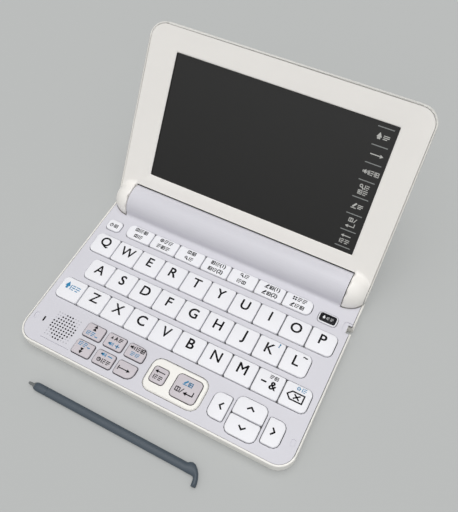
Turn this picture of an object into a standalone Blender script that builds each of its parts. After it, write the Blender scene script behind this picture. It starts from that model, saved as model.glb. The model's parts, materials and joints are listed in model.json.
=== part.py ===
"""Pocket electronic dictionary: a keyboard base, a folding screen lid and a loose stylus.

Lengths are metres and Z points up. The desk is the plane Z = 0, the origin lies
in the middle of the underside, X runs to the right and Y to the hinge at the back.
"""
import math

import bmesh
import bpy
from mathutils import Vector

MM = 0.001

# Whole object
CASE_WIDTH = 148.0 * MM
CASE_DEPTH = 95.95 * MM
CASE_FRONT_Y = -52.75 * MM
RIM_TOP_Z = 8.0 * MM
CORNER_RADIUS = 9.0 * MM
SEAM_GAP = 0.3 * MM
RIM_SEAM = 0.2 * MM
CUT_OVERRUN = 1.0 * MM
LID_OPEN_DEG = 125.5
HALF_WIDTH = CASE_WIDTH / 2
HINGE_Y = CASE_FRONT_Y + CASE_DEPTH

# Heights of the deck and its keys
DECK_DROP = 0.1 * MM
DECK_THICKNESS = 1.3 * MM
KEY_RISE = 0.9 * MM
FLANGE_HEIGHT = 0.4 * MM
DECK_TOP_Z = RIM_TOP_Z - DECK_DROP
DECK_UNDER_Z = DECK_TOP_Z - DECK_THICKNESS
KEY_TOP_Z = DECK_TOP_Z + KEY_RISE
FLANGE_TOP_Z = DECK_UNDER_Z - SEAM_GAP
KEY_BOTTOM_Z = FLANGE_TOP_Z - FLANGE_HEIGHT

# Lower case
CASE_WALL = 1.0 * MM
CASE_FLOOR = 1.3 * MM
FLOOR_EDGE_RADIUS = 2.2 * MM
FLOOR_EDGE_STEPS = 3
RIM_EDGE_BEVEL = 0.35 * MM
SIDE_SETBACK = 2.2 * MM
FOOT_RADIUS = 4.0 * MM
FOOT_GROOVE = 0.35 * MM
FOOT_SIDE_INSET = 14.0 * MM
FOOT_FRONT_INSET = 10.75 * MM
FOOT_REAR_SETBACK = 31.2 * MM
BOSS_RADIUS = 2.2 * MM
BOSS_SIDE_INSET = 12.0 * MM
BOSS_FRONT_INSET = 24.25 * MM
BOSS_REAR_SETBACK = 40.3 * MM
CASE_SIDE_REACH_Y = HINGE_Y - SIDE_SETBACK
DECK_INSET = CASE_WALL + RIM_SEAM

# Sockets in the left wall
EARPHONE_RADIUS = 1.8 * MM
EARPHONE_SETBACK = 31.2 * MM
SOCKET_DROP = 3.6 * MM
DATA_SOCKET_LENGTH = 7.6 * MM
DATA_SOCKET_HEIGHT = 2.6 * MM
DATA_SOCKET_CORNER = 0.65 * MM
DATA_SOCKET_SETBACK = 47.2 * MM
SOCKET_Z = RIM_TOP_Z - SOCKET_DROP

# Hinge barrel
BARREL_RADIUS = 9.2 * MM
BARREL_LIFT = 0.9 * MM
BARREL_WALL = 1.3 * MM
BARREL_FILLET = 1.6 * MM
EAR_WIDTH = 10.7 * MM
SEAM_START_DEG = -6.0
BARREL_HALF_LENGTH = HALF_WIDTH - EAR_WIDTH
BORE_RADIUS = BARREL_RADIUS - BARREL_WALL
HINGE_Z = BARREL_RADIUS + BARREL_LIFT

# Friction hinges
HINGE_BODY_LENGTH = 7.0 * MM
SHAFT_RADIUS = 3.0 * MM
SHAFT_CLEARANCE = 0.35 * MM
SHAFT_REACH = 7.5 * MM
SHAFT_EDGE = 0.8 * MM

# Battery bay between the hinges, its cells and its cover
BAY_END_WALL = 1.7 * MM
BAY_FRONT_SETBACK = 11.2 * MM
CELL_CLEARANCE = 0.65 * MM
CELL_NUB_RADIUS = 2.75 * MM
CELL_NUB_LENGTH = 1.0 * MM
CELL_EDGE = 0.8 * MM
SPRING_ROOM = 2.5 * MM
COVER_END_LAP = 1.0 * MM
COVER_THICKNESS = 1.5 * MM
COVER_FRONT_SETBACK = 8.0 * MM
COVER_REAR_DEG = -47.0
COVER_CUT_INNER_SHARE = 0.7
COVER_CUT_OUTER_SHARE = 1.25
GRIP_RIDGES = 5
GRIP_PITCH = 1.6 * MM
GRIP_WIDTH = 0.7 * MM
GRIP_DEPTH = 0.5 * MM
GRIP_LENGTH = 14.0 * MM
BAY_HALF_LENGTH = BARREL_HALF_LENGTH - BARREL_WALL - SEAM_GAP - HINGE_BODY_LENGTH - BAY_END_WALL
BAY_FRONT_WALL_Y = HINGE_Y - BAY_FRONT_SETBACK
CELL_RADIUS = BORE_RADIUS - CELL_CLEARANCE
CELL_LENGTH = BAY_HALF_LENGTH - CELL_NUB_LENGTH - SPRING_ROOM
COVER_HALF_LENGTH = BAY_HALF_LENGTH - COVER_END_LAP
COVER_FRONT_Y = HINGE_Y - COVER_FRONT_SETBACK

# Lid ears, and the recess in the base that each turns in
EAR_STEP = 0.6 * MM
EAR_SIDE_GAP = 0.45 * MM
EAR_END_ROOM = 0.25 * MM
EAR_RECESS_GAP = 0.5 * MM
EAR_RECESS_ROOM = 0.7 * MM
EAR_RECESS_END_DEG = 78.0
EAR_FRONT_FILLET = 3.0 * MM
EAR_BACK_FILLET = 4.0 * MM
EAR_BACK_STEP = 0.25 * MM
EAR_RADIUS = BARREL_RADIUS + EAR_STEP
EAR_INNER_X = BARREL_HALF_LENGTH + EAR_SIDE_GAP
EAR_ROUND_REACH = EAR_WIDTH - EAR_SIDE_GAP + EAR_END_ROOM
EAR_RECESS_REACH = EAR_WIDTH + EAR_RECESS_ROOM

# Lid
LID_FACE_GAP = 0.7 * MM
LID_THICKNESS = 6.3 * MM
LID_WALL = 0.7 * MM
LID_LEDGE = 0.8 * MM
LID_BACK_WALL = 1.3 * MM
LID_BACK_BEVEL = 2.4 * MM
LID_END_GAP = 0.8 * MM
LID_END_WALL = 1.4 * MM
BEZEL_THICKNESS = 0.8 * MM
LID_FACE_Z = KEY_TOP_Z + LID_FACE_GAP - HINGE_Z
LID_BACK_Z = LID_FACE_Z + LID_THICKNESS
LID_END_RADIUS = BARREL_RADIUS + LID_END_GAP
BEZEL_BACK_Z = LID_FACE_Z + BEZEL_THICKNESS

# Screen: its near and far edges are measured from the hinge axis and the lid's tip
SCREEN_LEFT_MARGIN = 16.5 * MM
SCREEN_RIGHT_MARGIN = 14.8 * MM
SCREEN_NEAR = 17.6 * MM
SCREEN_FAR_MARGIN = 12.55 * MM
SCREEN_CORNER = 0.5 * MM
SCREEN_LAP = 1.8 * MM
WINDOW_BEVEL = 0.45 * MM
GLASS_THICKNESS = 1.0 * MM
LCD_THICKNESS = 2.6 * MM
LCD_INSET = 0.8 * MM
SCREEN_LEFT_X = -HALF_WIDTH + SCREEN_LEFT_MARGIN
SCREEN_RIGHT_X = HALF_WIDTH - SCREEN_RIGHT_MARGIN
SCREEN_FAR = CASE_DEPTH - SCREEN_FAR_MARGIN

# Key forms
KEY_GAP = 0.4 * MM
KEY_BETWEEN = 0.6 * MM
KEY_CORNER = 1.0 * MM
KEY_END_CORNER = 2.8 * MM
KEY_EDGE = 0.4 * MM
FLANGE_REACH = 0.9 * MM
FLANGE_INSET = 0.3 * MM
FLANGE_CORNER_SHARE = 0.3
TOP_CORNER_SHARE = 0.4

# Rows of keys: the strip below the barrel, three letter rows and the cluster at the front
ROW_KEYS = (10, 9, 10)
ROW_MARGIN = 4.55 * MM
ROW_GAP = 3.45 * MM
STRIP_SETBACK = 18.2 * MM
CLUSTER_INSET = 13.25 * MM
STRIP_STEP_SHARE = 0.913
CLUSTER_STEP_SHARE = 1.262
STRIP_Y = HINGE_Y - STRIP_SETBACK
CLUSTER_Y = CASE_FRONT_Y + CLUSTER_INSET
KEY_PITCH = (CASE_WIDTH - 2 * ROW_MARGIN + KEY_BETWEEN) / ROW_KEYS[0]
ROW_PITCH = (STRIP_Y - CLUSTER_Y) / (len(ROW_KEYS) - 1 + STRIP_STEP_SHARE + CLUSTER_STEP_SHARE)
ROW_TOP_Y = STRIP_Y - STRIP_STEP_SHARE * ROW_PITCH
KEY_WIDTH = KEY_PITCH - KEY_BETWEEN
KEY_HEIGHT = ROW_PITCH - ROW_GAP

# Dictionary key strip
STRIP_KEYS = 7
STRIP_LEFT_MARGIN = 17.2 * MM
STRIP_RIGHT_MARGIN = 22.4 * MM
STRIP_HEIGHT = 8.1 * MM
STRIP_CORNER = 2.9 * MM
STRIP_X = (STRIP_LEFT_MARGIN - STRIP_RIGHT_MARGIN) / 2
STRIP_WIDTH = CASE_WIDTH - STRIP_LEFT_MARGIN - STRIP_RIGHT_MARGIN
STRIP_PITCH = (STRIP_WIDTH + KEY_BETWEEN) / STRIP_KEYS

# Power key and home key, beside the strip
POWER_MARGIN = 4.95 * MM
POWER_DROP = 1.1 * MM
POWER_WIDTH = 8.3 * MM
POWER_HEIGHT = 6.5 * MM
POWER_CORNER = 2.0 * MM
HOME_MARGIN = 8.5 * MM
HOME_DROP = 1.15 * MM
HOME_WIDTH = 9.7 * MM
HOME_HEIGHT = 5.8 * MM
HOME_CORNER = 1.7 * MM
HOME_RING = 0.65 * MM
HOME_STEP = 0.5 * MM
POWER_X = -HALF_WIDTH + POWER_MARGIN + POWER_WIDTH / 2
POWER_Y = STRIP_Y - POWER_DROP
HOME_X = HALF_WIDTH - HOME_MARGIN - HOME_WIDTH / 2
HOME_Y = STRIP_Y - HOME_DROP

# Cluster at the front: x places and widths as shares of the key pitch, heights of the row pitch.
SPEAKER_X_SHARE = -3.882
FUNCTION_X_SHARE = -2.760
FUNCTION_STEP_SHARES = (0.864, 0.631)
POD_X_SHARE = 0.724
POD_SHARES = (2.122, 1.087)
ARROW_X_SHARE = 3.369
ARROW_STEP_SHARE = 0.982
SIDE_ARROW_SHARES = (0.602, 0.815)
TALL_ARROW_SHARES = (1.090, 0.580)

# Function keys
FUNCTION_GAP_X = 1.95 * MM
FUNCTION_GAP_Y = 2.55 * MM
FUNCTION_CORNER = 1.0 * MM
FUNCTION_END_CORNER = 3.6 * MM
FUNCTION_X = FUNCTION_X_SHARE * KEY_PITCH
FUNCTION_PITCH_X = FUNCTION_STEP_SHARES[0] * KEY_PITCH
FUNCTION_PITCH_Y = FUNCTION_STEP_SHARES[1] * ROW_PITCH
FUNCTION_Y = CLUSTER_Y + FUNCTION_PITCH_Y / 2
FUNCTION_WIDTH = FUNCTION_PITCH_X - FUNCTION_GAP_X
FUNCTION_HEIGHT = FUNCTION_PITCH_Y - FUNCTION_GAP_Y

# Enter key surround: x places and widths of its two keys as shares of its own width
POD_CORNER = 4.4 * MM
POD_RISE = 0.4 * MM
POD_PLATE = 1.2 * MM
POD_WALL = 1.0 * MM
POD_EDGE = 0.5 * MM
BACK_KEY_SHARES = (-0.296, 0.253)
BACK_KEY_MARGIN = 4.45 * MM
BACK_KEY_CORNER = 1.4 * MM
ENTER_KEY_SHARES = (0.199, 0.439)
ENTER_KEY_MARGIN = 2.55 * MM
ENTER_KEY_CORNER = 2.0 * MM
POD_X = POD_X_SHARE * KEY_PITCH
POD_WIDTH = POD_SHARES[0] * KEY_PITCH
POD_HEIGHT = POD_SHARES[1] * ROW_PITCH
POD_TOP_Z = DECK_TOP_Z + POD_RISE
BACK_KEY_X = POD_X + BACK_KEY_SHARES[0] * POD_WIDTH
ENTER_KEY_X = POD_X + ENTER_KEY_SHARES[0] * POD_WIDTH

# Arrow keys
ARROW_CORNER = 3.2 * MM
ARROW_X = ARROW_X_SHARE * KEY_PITCH
ARROW_STEP = ARROW_STEP_SHARE * KEY_PITCH
SIDE_ARROW_WIDTH = SIDE_ARROW_SHARES[0] * KEY_PITCH
SIDE_ARROW_HEIGHT = SIDE_ARROW_SHARES[1] * ROW_PITCH
TALL_ARROW_WIDTH = TALL_ARROW_SHARES[0] * KEY_PITCH
TALL_ARROW_HEIGHT = TALL_ARROW_SHARES[1] * ROW_PITCH
TALL_ARROW_OFFSET = (TALL_ARROW_HEIGHT + KEY_BETWEEN) / 2

# Speaker, microphone slot and moulded marks
SPEAKER_RADIUS = 7.4 * MM
SPEAKER_FRAME = 1.1 * MM
SPEAKER_DISH = 0.6 * MM
GRILLE_PITCH = 1.6 * MM
GRILLE_HOLE_RADIUS = 0.5 * MM
GRILLE_REACH_SHARE = 4.15
SLOT_INSET = 8.5 * MM
SLOT_WIDTH = 0.9 * MM
SLOT_LENGTH = 2.9 * MM
STOP_INSET = 3.9 * MM
STOP_WIDTH = 2.2 * MM
STOP_LENGTH = 3.6 * MM
ROUND_END_SHARE = 0.45
MARK_DEPTH = 0.4 * MM
LINE_LEFT_REACH = 7.2 * MM
LINE_RIGHT_REACH = 9.2 * MM
LINE_FRONT_INSET = 4.65 * MM
LINE_WIDTH = 0.35 * MM
SPEAKER_X = SPEAKER_X_SHARE * KEY_PITCH
LINE_Y = CASE_FRONT_Y + LINE_FRONT_INSET

# Stylus and its silo
SILO_SETBACK = 19.7 * MM
SILO_WIDTH = 4.8 * MM
SILO_FLOOR_Z = 1.0 * MM
SILO_WALL = 0.8 * MM
SILO_ROOF = 0.5 * MM
SILO_KEY_ROOM = 0.8 * MM
SILO_END_ROOM = 1.3 * MM
NOTCH_DEPTH = 3.0 * MM
SCOOP_REACH = 5.4 * MM
SCOOP_WIDTH = 6.8 * MM
SCOOP_CORNER = 1.8 * MM
SCOOP_DEPTH = 0.6 * MM
STYLUS_SIDE_ROOM = 0.25 * MM
STYLUS_TOP_ROOM = 0.6 * MM
STYLUS_TIP_X = -54.8 * MM
STYLUS_FRONT_GAP = 16.05 * MM
STYLUS_SHAFT_LENGTH = 84.8 * MM
STYLUS_GROOVE_REACH = 10.5 * MM
STYLUS_GROOVE_WIDTH = 0.5 * MM
STYLUS_GROOVE_DEPTH = 0.25 * MM
STYLUS_POWER = 2.6
SILO_Y = HINGE_Y - SILO_SETBACK
SILO_ROOF_Z = KEY_BOTTOM_Z - SILO_KEY_ROOM
SILO_HEIGHT = SILO_ROOF_Z - SILO_ROOF - SILO_FLOOR_Z
STYLUS_WIDTH = SILO_WIDTH - 2 * STYLUS_SIDE_ROOM
STYLUS_HEIGHT = SILO_HEIGHT - STYLUS_TOP_ROOM
STYLUS_Y = CASE_FRONT_Y - STYLUS_FRONT_GAP
STYLUS_SHAFT_END_X = STYLUS_TIP_X + STYLUS_SHAFT_LENGTH

# Circuit board; a dome fills a share of the room between the board and its key
BOARD_LIFT = 1.3 * MM
BOARD_THICKNESS = 0.8 * MM
BOARD_MARGIN = 3.4 * MM
BOARD_SILO_GAP = 0.9 * MM
DOME_RADIUS = 2.6 * MM
DOME_TOP_RADIUS = 1.7 * MM
DOME_HEIGHT_SHARE = 0.44
BOARD_Z = CASE_FLOOR + BOARD_LIFT
BOARD_TOP_Z = BOARD_Z + BOARD_THICKNESS
DOME_TOP_Z = BOARD_TOP_Z + DOME_HEIGHT_SHARE * (KEY_BOTTOM_Z - BOARD_TOP_Z)

# Drawing steps
CORNER_STEPS = 5
CASE_CORNER_STEPS = 7
OPENING_CORNER_STEPS = 3
SMALL_CORNER_STEPS = 2
LID_END_STEPS = 6
EAR_BACK_STEPS = 3
EAR_REAR_STEPS = 5
EAR_FRONT_STEPS = 10
FILLET_STEPS = 4
COVER_STEPS = 8
EAR_RECESS_STEPS = 9
ARC_STEPS = 22
ROUND_SEGMENTS = 40
SHAFT_SEGMENTS = 20
SMALL_ROUND_SEGMENTS = 16
DOME_SEGMENTS = 4
HOLE_SEGMENTS = 6
STYLUS_SEGMENTS = 12
SMOOTH_DEG = 32.0
STYLUS_SMOOTH_DEG = 40.0
WELD_DISTANCE = 0.001 * MM
PLANE_TOLERANCE = 0.01 * MM

LETTER_ROWS = ("QWERTYUIOP", "ASDFGHJKL", "ZXCVBNM")

# Stylus tip: place along the shaft and half-size, as shares of the stylus width.
TIP_SHARES = (
    (0.0, 0.10), (0.10, 0.16), (0.62, 0.18), (0.68, 0.27), (0.90, 0.41), (1.12, 0.48), (1.36, 0.50),
)

# Stylus hook: outer and inner edge points, from the shaft's end, as shares of the stylus width.
HOOK_SHARES = (
    ((0.42, 0.50), (0.42, -0.50)),
    ((0.62, 0.66), (0.72, -0.52)),
    ((0.86, 0.75), (1.02, -0.52)),
    ((1.24, 0.66), (1.32, -0.50)),
    ((1.62, 0.36), (1.52, -0.54)),
    ((1.92, -0.04), (1.62, -0.66)),
    ((2.16, -0.56), (1.68, -0.92)),
    ((2.28, -1.02), (1.72, -1.16)),
    ((2.30, -1.38), (1.75, -1.44)),
)
SILO_END_X = HALF_WIDTH - SILO_END_ROOM - STYLUS_SHAFT_LENGTH - HOOK_SHARES[-1][0][0] * STYLUS_WIDTH

# Colour, roughness and metallic value of each finish
FINISHES = {
    "deck_plastic": ((0.70, 0.69, 0.77), 0.38, 0.25),
    "case_plastic": ((0.86, 0.85, 0.80), 0.35, 0.0),
    "bezel_plastic": ((0.78, 0.76, 0.73), 0.38, 0.0),
    "key_plastic": ((0.86, 0.86, 0.90), 0.36, 0.0),
    "function_key_plastic": ((0.68, 0.65, 0.70), 0.38, 0.1),
    "home_key_plastic": ((0.02, 0.02, 0.03), 0.25, 0.0),
    "screen_glass": ((0.032, 0.032, 0.030), 0.12, 0.0),
    "stylus_plastic": ((0.09, 0.12, 0.15), 0.42, 0.0),
    "board_laminate": ((0.03, 0.18, 0.08), 0.45, 0.0),
    "cell_jacket": ((0.10, 0.13, 0.18), 0.30, 0.3),
}

def clear_scene():
    for item in list(bpy.data.objects):
        bpy.data.objects.remove(item, do_unlink=True)


def make_materials():
    for name, (colour, roughness, metallic) in FINISHES.items():
        material = bpy.data.materials.new(name)
        material.use_nodes = True
        shader = material.node_tree.nodes["Principled BSDF"]
        shader.inputs["Base Color"].default_value = (*colour, 1.0)
        shader.inputs["Roughness"].default_value = roughness
        shader.inputs["Metallic"].default_value = metallic


def finish_object(name, bm, finish="case_plastic"):
    """Turn a bmesh into an object with outward normals, crisp edges and smooth rounds."""
    bmesh.ops.recalc_face_normals(bm, faces=bm.faces)
    mesh = bpy.data.meshes.new(name)
    bm.to_mesh(mesh)
    bm.free()
    mesh.materials.append(bpy.data.materials[finish])
    item = bpy.data.objects.new(name, mesh)
    bpy.context.collection.objects.link(item)
    return item


def smooth_rounds(item, angle_deg=SMOOTH_DEG):
    item.data.shade_smooth()
    item.data.set_sharp_from_angle(angle=math.radians(angle_deg))


def ellipse_arc(centre, radii, start_deg, end_deg, steps):
    """Points on part of an ellipse in a plane, both ends included."""
    points = []
    for step in range(steps + 1):
        angle = math.radians(start_deg + (end_deg - start_deg) * step / steps)
        points.append((centre[0] + radii[0] * math.cos(angle), centre[1] + radii[1] * math.sin(angle)))
    return points


def arc(centre, radius, start_deg, end_deg, steps):
    return ellipse_arc(centre, (radius, radius), start_deg, end_deg, steps)


def circle(centre, radius, count, start_deg=0.0):
    """The given number of points, evenly round a circle."""
    return arc(centre, radius, start_deg, start_deg + 360 - 360 / count, count - 1)


def rounded_rectangle(centre, width, height, corners, steps=CORNER_STEPS):
    """Outline from the front left corner, anticlockwise; corners is one radius or four."""
    if not isinstance(corners, (tuple, list)):
        corners = (corners,) * 4
    half_w, half_h = width / 2, height / 2
    signs = ((-1, -1), (1, -1), (1, 1), (-1, 1))
    points = []
    for (sx, sy), radius, start in zip(signs, corners, (180, 270, 0, 90)):
        middle = (centre[0] + sx * (half_w - radius), centre[1] + sy * (half_h - radius))
        points += arc(middle, radius, start, start + 90, steps)
    return points


def prism(outline, low, high, axis="z"):
    """Extrude a flat outline from low to high along the axis; an x outline holds (y, z)."""
    bm = bmesh.new()
    if axis == "z":
        corners = [bm.verts.new((u, v, low)) for u, v in outline]
        step = Vector((0, 0, high - low))
    else:
        corners = [bm.verts.new((low, u, v)) for u, v in outline]
        step = Vector((high - low, 0, 0))
    face = bm.faces.new(corners)
    grown = bmesh.ops.extrude_face_region(bm, geom=[face])
    moved = [part for part in grown["geom"] if isinstance(part, bmesh.types.BMVert)]
    bmesh.ops.translate(bm, verts=moved, vec=step)
    return bm


def box(low, high):
    outline = ((low[0], low[1]), (high[0], low[1]), (high[0], high[1]), (low[0], high[1]))
    return prism(outline, low[2], high[2])


def loft(loops):
    """Skin loops that have the same number of points, and cap both ends."""
    bm = bmesh.new()
    rings = [[bm.verts.new(point) for point in loop] for loop in loops]
    count = len(rings[0])
    for near, far in zip(rings, rings[1:]):
        for index in range(count):
            following = (index + 1) % count
            bm.faces.new((near[index], near[following], far[following], far[index]))
    bm.faces.new(rings[0])
    bm.faces.new(rings[-1])
    return bm


def at_height(outline, z):
    return [(x, y, z) for x, y in outline]


def turned(profile, axis_y, axis_z, segments=ROUND_SEGMENTS):
    """Turned shape about a line along X, from (x, radius) points, with flat ends."""
    loops = []
    for x, radius in profile:
        loops.append([(x, y, z) for y, z in circle((axis_y, axis_z), radius, segments)])
    return loft(loops)


def rod(centre, radius, low, high, axis="z", segments=ROUND_SEGMENTS):
    return prism(circle(centre, radius, segments), low, high, axis)


def combine(item, bm, operation):
    """Apply one exact boolean between an object and a tool mesh."""
    tool = finish_object("tool", bm)
    modifier = item.modifiers.new("shape", "BOOLEAN")
    modifier.operation = operation
    modifier.solver = "EXACT"
    modifier.object = tool
    evaluated = item.evaluated_get(bpy.context.evaluated_depsgraph_get())
    result = bpy.data.meshes.new_from_object(evaluated)
    item.modifiers.clear()
    material = item.data.materials[0]
    item.data = result
    item.data.materials.clear()
    item.data.materials.append(material)
    bpy.data.objects.remove(tool, do_unlink=True)


def cut(item, bm):
    combine(item, bm, "DIFFERENCE")


def join(item, bm):
    combine(item, bm, "UNION")


def keep_inside(item, bm):
    combine(item, bm, "INTERSECT")


def common(first, second):
    """Tool mesh of the space that two tool meshes share."""
    item = finish_object("common", first)
    keep_inside(item, second)
    bm = bmesh.new()
    bm.from_mesh(item.data)
    bpy.data.objects.remove(item, do_unlink=True)
    return bm


def set_origin(item, point):
    """Move the object's origin without moving its shape."""
    for vertex in item.data.vertices:
        vertex.co -= Vector(point)
    item.location = point


# Shapes that several pieces share

def plan_outline(inset, front_y, rear_y):
    """Plan with two round front corners, drawn in by an inset, and square corners at rear_y."""
    radius = CORNER_RADIUS - inset
    left, right, front = -HALF_WIDTH + inset, HALF_WIDTH - inset, front_y + inset
    points = arc((left + radius, front + radius), radius, 180, 270, CASE_CORNER_STEPS)
    points += arc((right - radius, front + radius), radius, 270, 360, CASE_CORNER_STEPS)
    return points + [(right, rear_y), (left, rear_y)]


def case_outline(inset, rear_y):
    return plan_outline(inset, CASE_FRONT_Y, rear_y)


def lid_outline(inset, rear_y):
    return plan_outline(inset, -CASE_DEPTH, rear_y)


def round_edges(bm, height, offset, segments):
    """Round the edges that lie at a height, but for those along the rear."""
    rear = max(vertex.co.y for vertex in bm.verts) - PLANE_TOLERANCE
    edges = []
    for edge in bm.edges:
        level = all(abs(vertex.co.z - height) < PLANE_TOLERANCE for vertex in edge.verts)
        if level and min(vertex.co.y for vertex in edge.verts) < rear:
            edges.append(edge)
    bmesh.ops.bevel(bm, geom=edges, offset=offset, segments=segments, profile=0.5, affect="EDGES")


def hull(inset, floor_z, rear_y, top_z):
    """Body of the base, drawn in by an inset, with its lower edge rounded to match."""
    bm = prism(case_outline(inset, rear_y), floor_z, top_z)
    round_edges(bm, floor_z, FLOOR_EDGE_RADIUS - inset, FLOOR_EDGE_STEPS)
    return bm


def ear_radius(x):
    """Radius of a lid ear at a distance x from the middle of the object."""
    share = (x - EAR_INNER_X) / EAR_ROUND_REACH
    return EAR_RADIUS * math.sqrt(1 - share * share)


def ear_recess(side):
    """Space in the base that a lid ear turns in."""
    profile = []
    for step in range(EAR_RECESS_STEPS + 1):
        angle = math.radians(EAR_RECESS_END_DEG * step / EAR_RECESS_STEPS)
        x = BARREL_HALF_LENGTH + EAR_RECESS_REACH * math.sin(angle)
        profile.append((side * x, (EAR_RADIUS + EAR_RECESS_GAP) * math.cos(angle)))
    return turned(profile, HINGE_Y, HINGE_Z)


def silo_notch():
    """Slot right through the side edge, where a finger pulls out the stored stylus."""
    half = SILO_WIDTH / 2
    low = (HALF_WIDTH - NOTCH_DEPTH, SILO_Y - half, -CUT_OVERRUN)
    high = (HALF_WIDTH + CUT_OVERRUN, SILO_Y + half, RIM_TOP_Z + CUT_OVERRUN)
    return box(low, high)


# Base

def build_bottom_case():
    bm = hull(0, 0, CASE_SIDE_REACH_Y, RIM_TOP_Z)
    round_edges(bm, RIM_TOP_Z, RIM_EDGE_BEVEL, 1)
    case = finish_object("bottom_case", bm)
    above = RIM_TOP_Z + CUT_OVERRUN
    join(case, barrel_underside())
    cut(case, hull(CASE_WALL, CASE_FLOOR, BAY_FRONT_WALL_Y, above))
    cut(case, prism(case_outline(CASE_WALL, HINGE_Y), FLANGE_TOP_Z, above))
    join(case, silo_block())
    for side in (-1, 1):
        cut(case, ear_recess(side))
    cut(case, rod((HINGE_Y, HINGE_Z), BORE_RADIUS, -BAY_HALF_LENGTH, BAY_HALF_LENGTH, "x"))
    cut(case, cover_opening())
    for side in (-1, 1):
        join(case, hinge_unit(side))
    cut(case, silo_bore())
    cut(case, silo_notch())
    add_board_bosses(case)
    cut_side_sockets(case)
    for x in (-HALF_WIDTH + FOOT_SIDE_INSET, HALF_WIDTH - FOOT_SIDE_INSET):
        for y in (CASE_FRONT_Y + FOOT_FRONT_INSET, HINGE_Y - FOOT_REAR_SETBACK):
            cut(case, foot_groove((x, y)))
    smooth_rounds(case)
    return case


def barrel_underside():
    """Solid lower half of the hinge barrel, from the flat floor up to the rear seam."""
    seam_z = HINGE_Z - SEAM_GAP
    step_y = HINGE_Y + SEAM_GAP
    outline = [(BAY_FRONT_WALL_Y, 0)]
    outline += ellipse_arc((HINGE_Y, HINGE_Z), (BARREL_RADIUS, HINGE_Z), -90, SEAM_START_DEG, ARC_STEPS // 2)
    outline.append((HINGE_Y + BARREL_RADIUS, seam_z))
    outline += [(step_y, seam_z), (step_y, FLANGE_TOP_Z), (BAY_FRONT_WALL_Y, FLANGE_TOP_Z)]
    return prism(outline, -BARREL_HALF_LENGTH, BARREL_HALF_LENGTH, "x")


def hinge_unit(side):
    """Friction hinge in one end of the barrel, with the shaft that the lid ear turns on."""
    body_end = BARREL_HALF_LENGTH - BARREL_WALL - SEAM_GAP
    tip = BARREL_HALF_LENGTH + SHAFT_REACH
    radius = BORE_RADIUS - SEAM_GAP
    profile = ((body_end - HINGE_BODY_LENGTH, radius), (body_end, radius), (body_end, SHAFT_RADIUS),
               (tip - SHAFT_EDGE, SHAFT_RADIUS), (tip, SHAFT_RADIUS - SHAFT_EDGE))
    return turned([(side * x, r) for x, r in profile], HINGE_Y, HINGE_Z, SHAFT_SEGMENTS)


def cover_outline(rear_deg, front_y, inner_z):
    """Flat front, then round the barrel to rear_deg, with a constant thickness."""
    outline = [(front_y, 0)]
    outline += ellipse_arc((HINGE_Y, HINGE_Z), (BARREL_RADIUS, HINGE_Z), -90, rear_deg, COVER_STEPS)
    inner = (BARREL_RADIUS - inner_z, HINGE_Z - inner_z)
    outline += ellipse_arc((HINGE_Y, HINGE_Z), inner, rear_deg, -90, COVER_STEPS)
    return outline + [(front_y, inner_z)]


def cover_opening():
    """Opening under the battery bay, a seam gap wider than its cover all round."""
    rear = math.radians(COVER_REAR_DEG) + SEAM_GAP / BARREL_RADIUS
    outward = (BARREL_RADIUS * math.cos(rear), HINGE_Z * math.sin(rear))
    half = COVER_HALF_LENGTH + SEAM_GAP
    front = COVER_FRONT_Y - SEAM_GAP
    roof = COVER_THICKNESS + SEAM_GAP
    outer_y = HINGE_Y + outward[0] * COVER_CUT_OUTER_SHARE
    bay = BORE_RADIUS / 2
    outline = [
        (front, -CUT_OVERRUN),
        (outer_y, -CUT_OVERRUN),
        (outer_y, HINGE_Z + outward[1] * COVER_CUT_OUTER_SHARE),
        (HINGE_Y + outward[0] * COVER_CUT_INNER_SHARE, HINGE_Z + outward[1] * COVER_CUT_INNER_SHARE),
        (HINGE_Y, HINGE_Z - bay),
        (HINGE_Y - bay, HINGE_Z - bay),
        (HINGE_Y - bay, roof),
        (front, roof),
    ]
    return prism(outline, -half, half, "x")


def build_battery_cover():
    outline = cover_outline(COVER_REAR_DEG, COVER_FRONT_Y, COVER_THICKNESS)
    cover = finish_object("battery_cover", prism(outline, -COVER_HALF_LENGTH, COVER_HALF_LENGTH, "x"))
    half = GRIP_LENGTH / 2
    for index in range(GRIP_RIDGES):
        y = COVER_FRONT_Y + GRIP_PITCH * (index + 1)
        cut(cover, box((-half, y, -CUT_OVERRUN), (half, y + GRIP_WIDTH, GRIP_DEPTH)))
    smooth_rounds(cover)
    set_origin(cover, (0, (COVER_FRONT_Y + HINGE_Y) / 2, 0))
    return cover


def silo_block():
    """Closed channel on the case floor that the stylus slides into, ending in the side wall."""
    half = SILO_WIDTH / 2 + SILO_WALL
    low = (SILO_END_X - SILO_WALL, SILO_Y - half, CASE_FLOOR / 2)
    high = (HALF_WIDTH, SILO_Y + half, SILO_ROOF_Z)
    inside = hull(CASE_WALL / 2, CASE_WALL / 2, CASE_SIDE_REACH_Y, RIM_TOP_Z)
    return common(box(low, high), inside)


def silo_bore():
    half = SILO_WIDTH / 2
    low = (SILO_END_X, SILO_Y - half, SILO_FLOOR_Z)
    high = (HALF_WIDTH + CUT_OVERRUN, SILO_Y + half, SILO_FLOOR_Z + SILO_HEIGHT)
    return box(low, high)


def add_board_bosses(case):
    side_x = HALF_WIDTH - BOSS_SIDE_INSET
    for x in (-side_x, 0, side_x):
        for y in (CASE_FRONT_Y + BOSS_FRONT_INSET, HINGE_Y - BOSS_REAR_SETBACK):
            outline = circle((x, y), BOSS_RADIUS, SMALL_ROUND_SEGMENTS)
            join(case, prism(outline, CASE_FLOOR / 2, BOARD_Z - SEAM_GAP))


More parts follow.
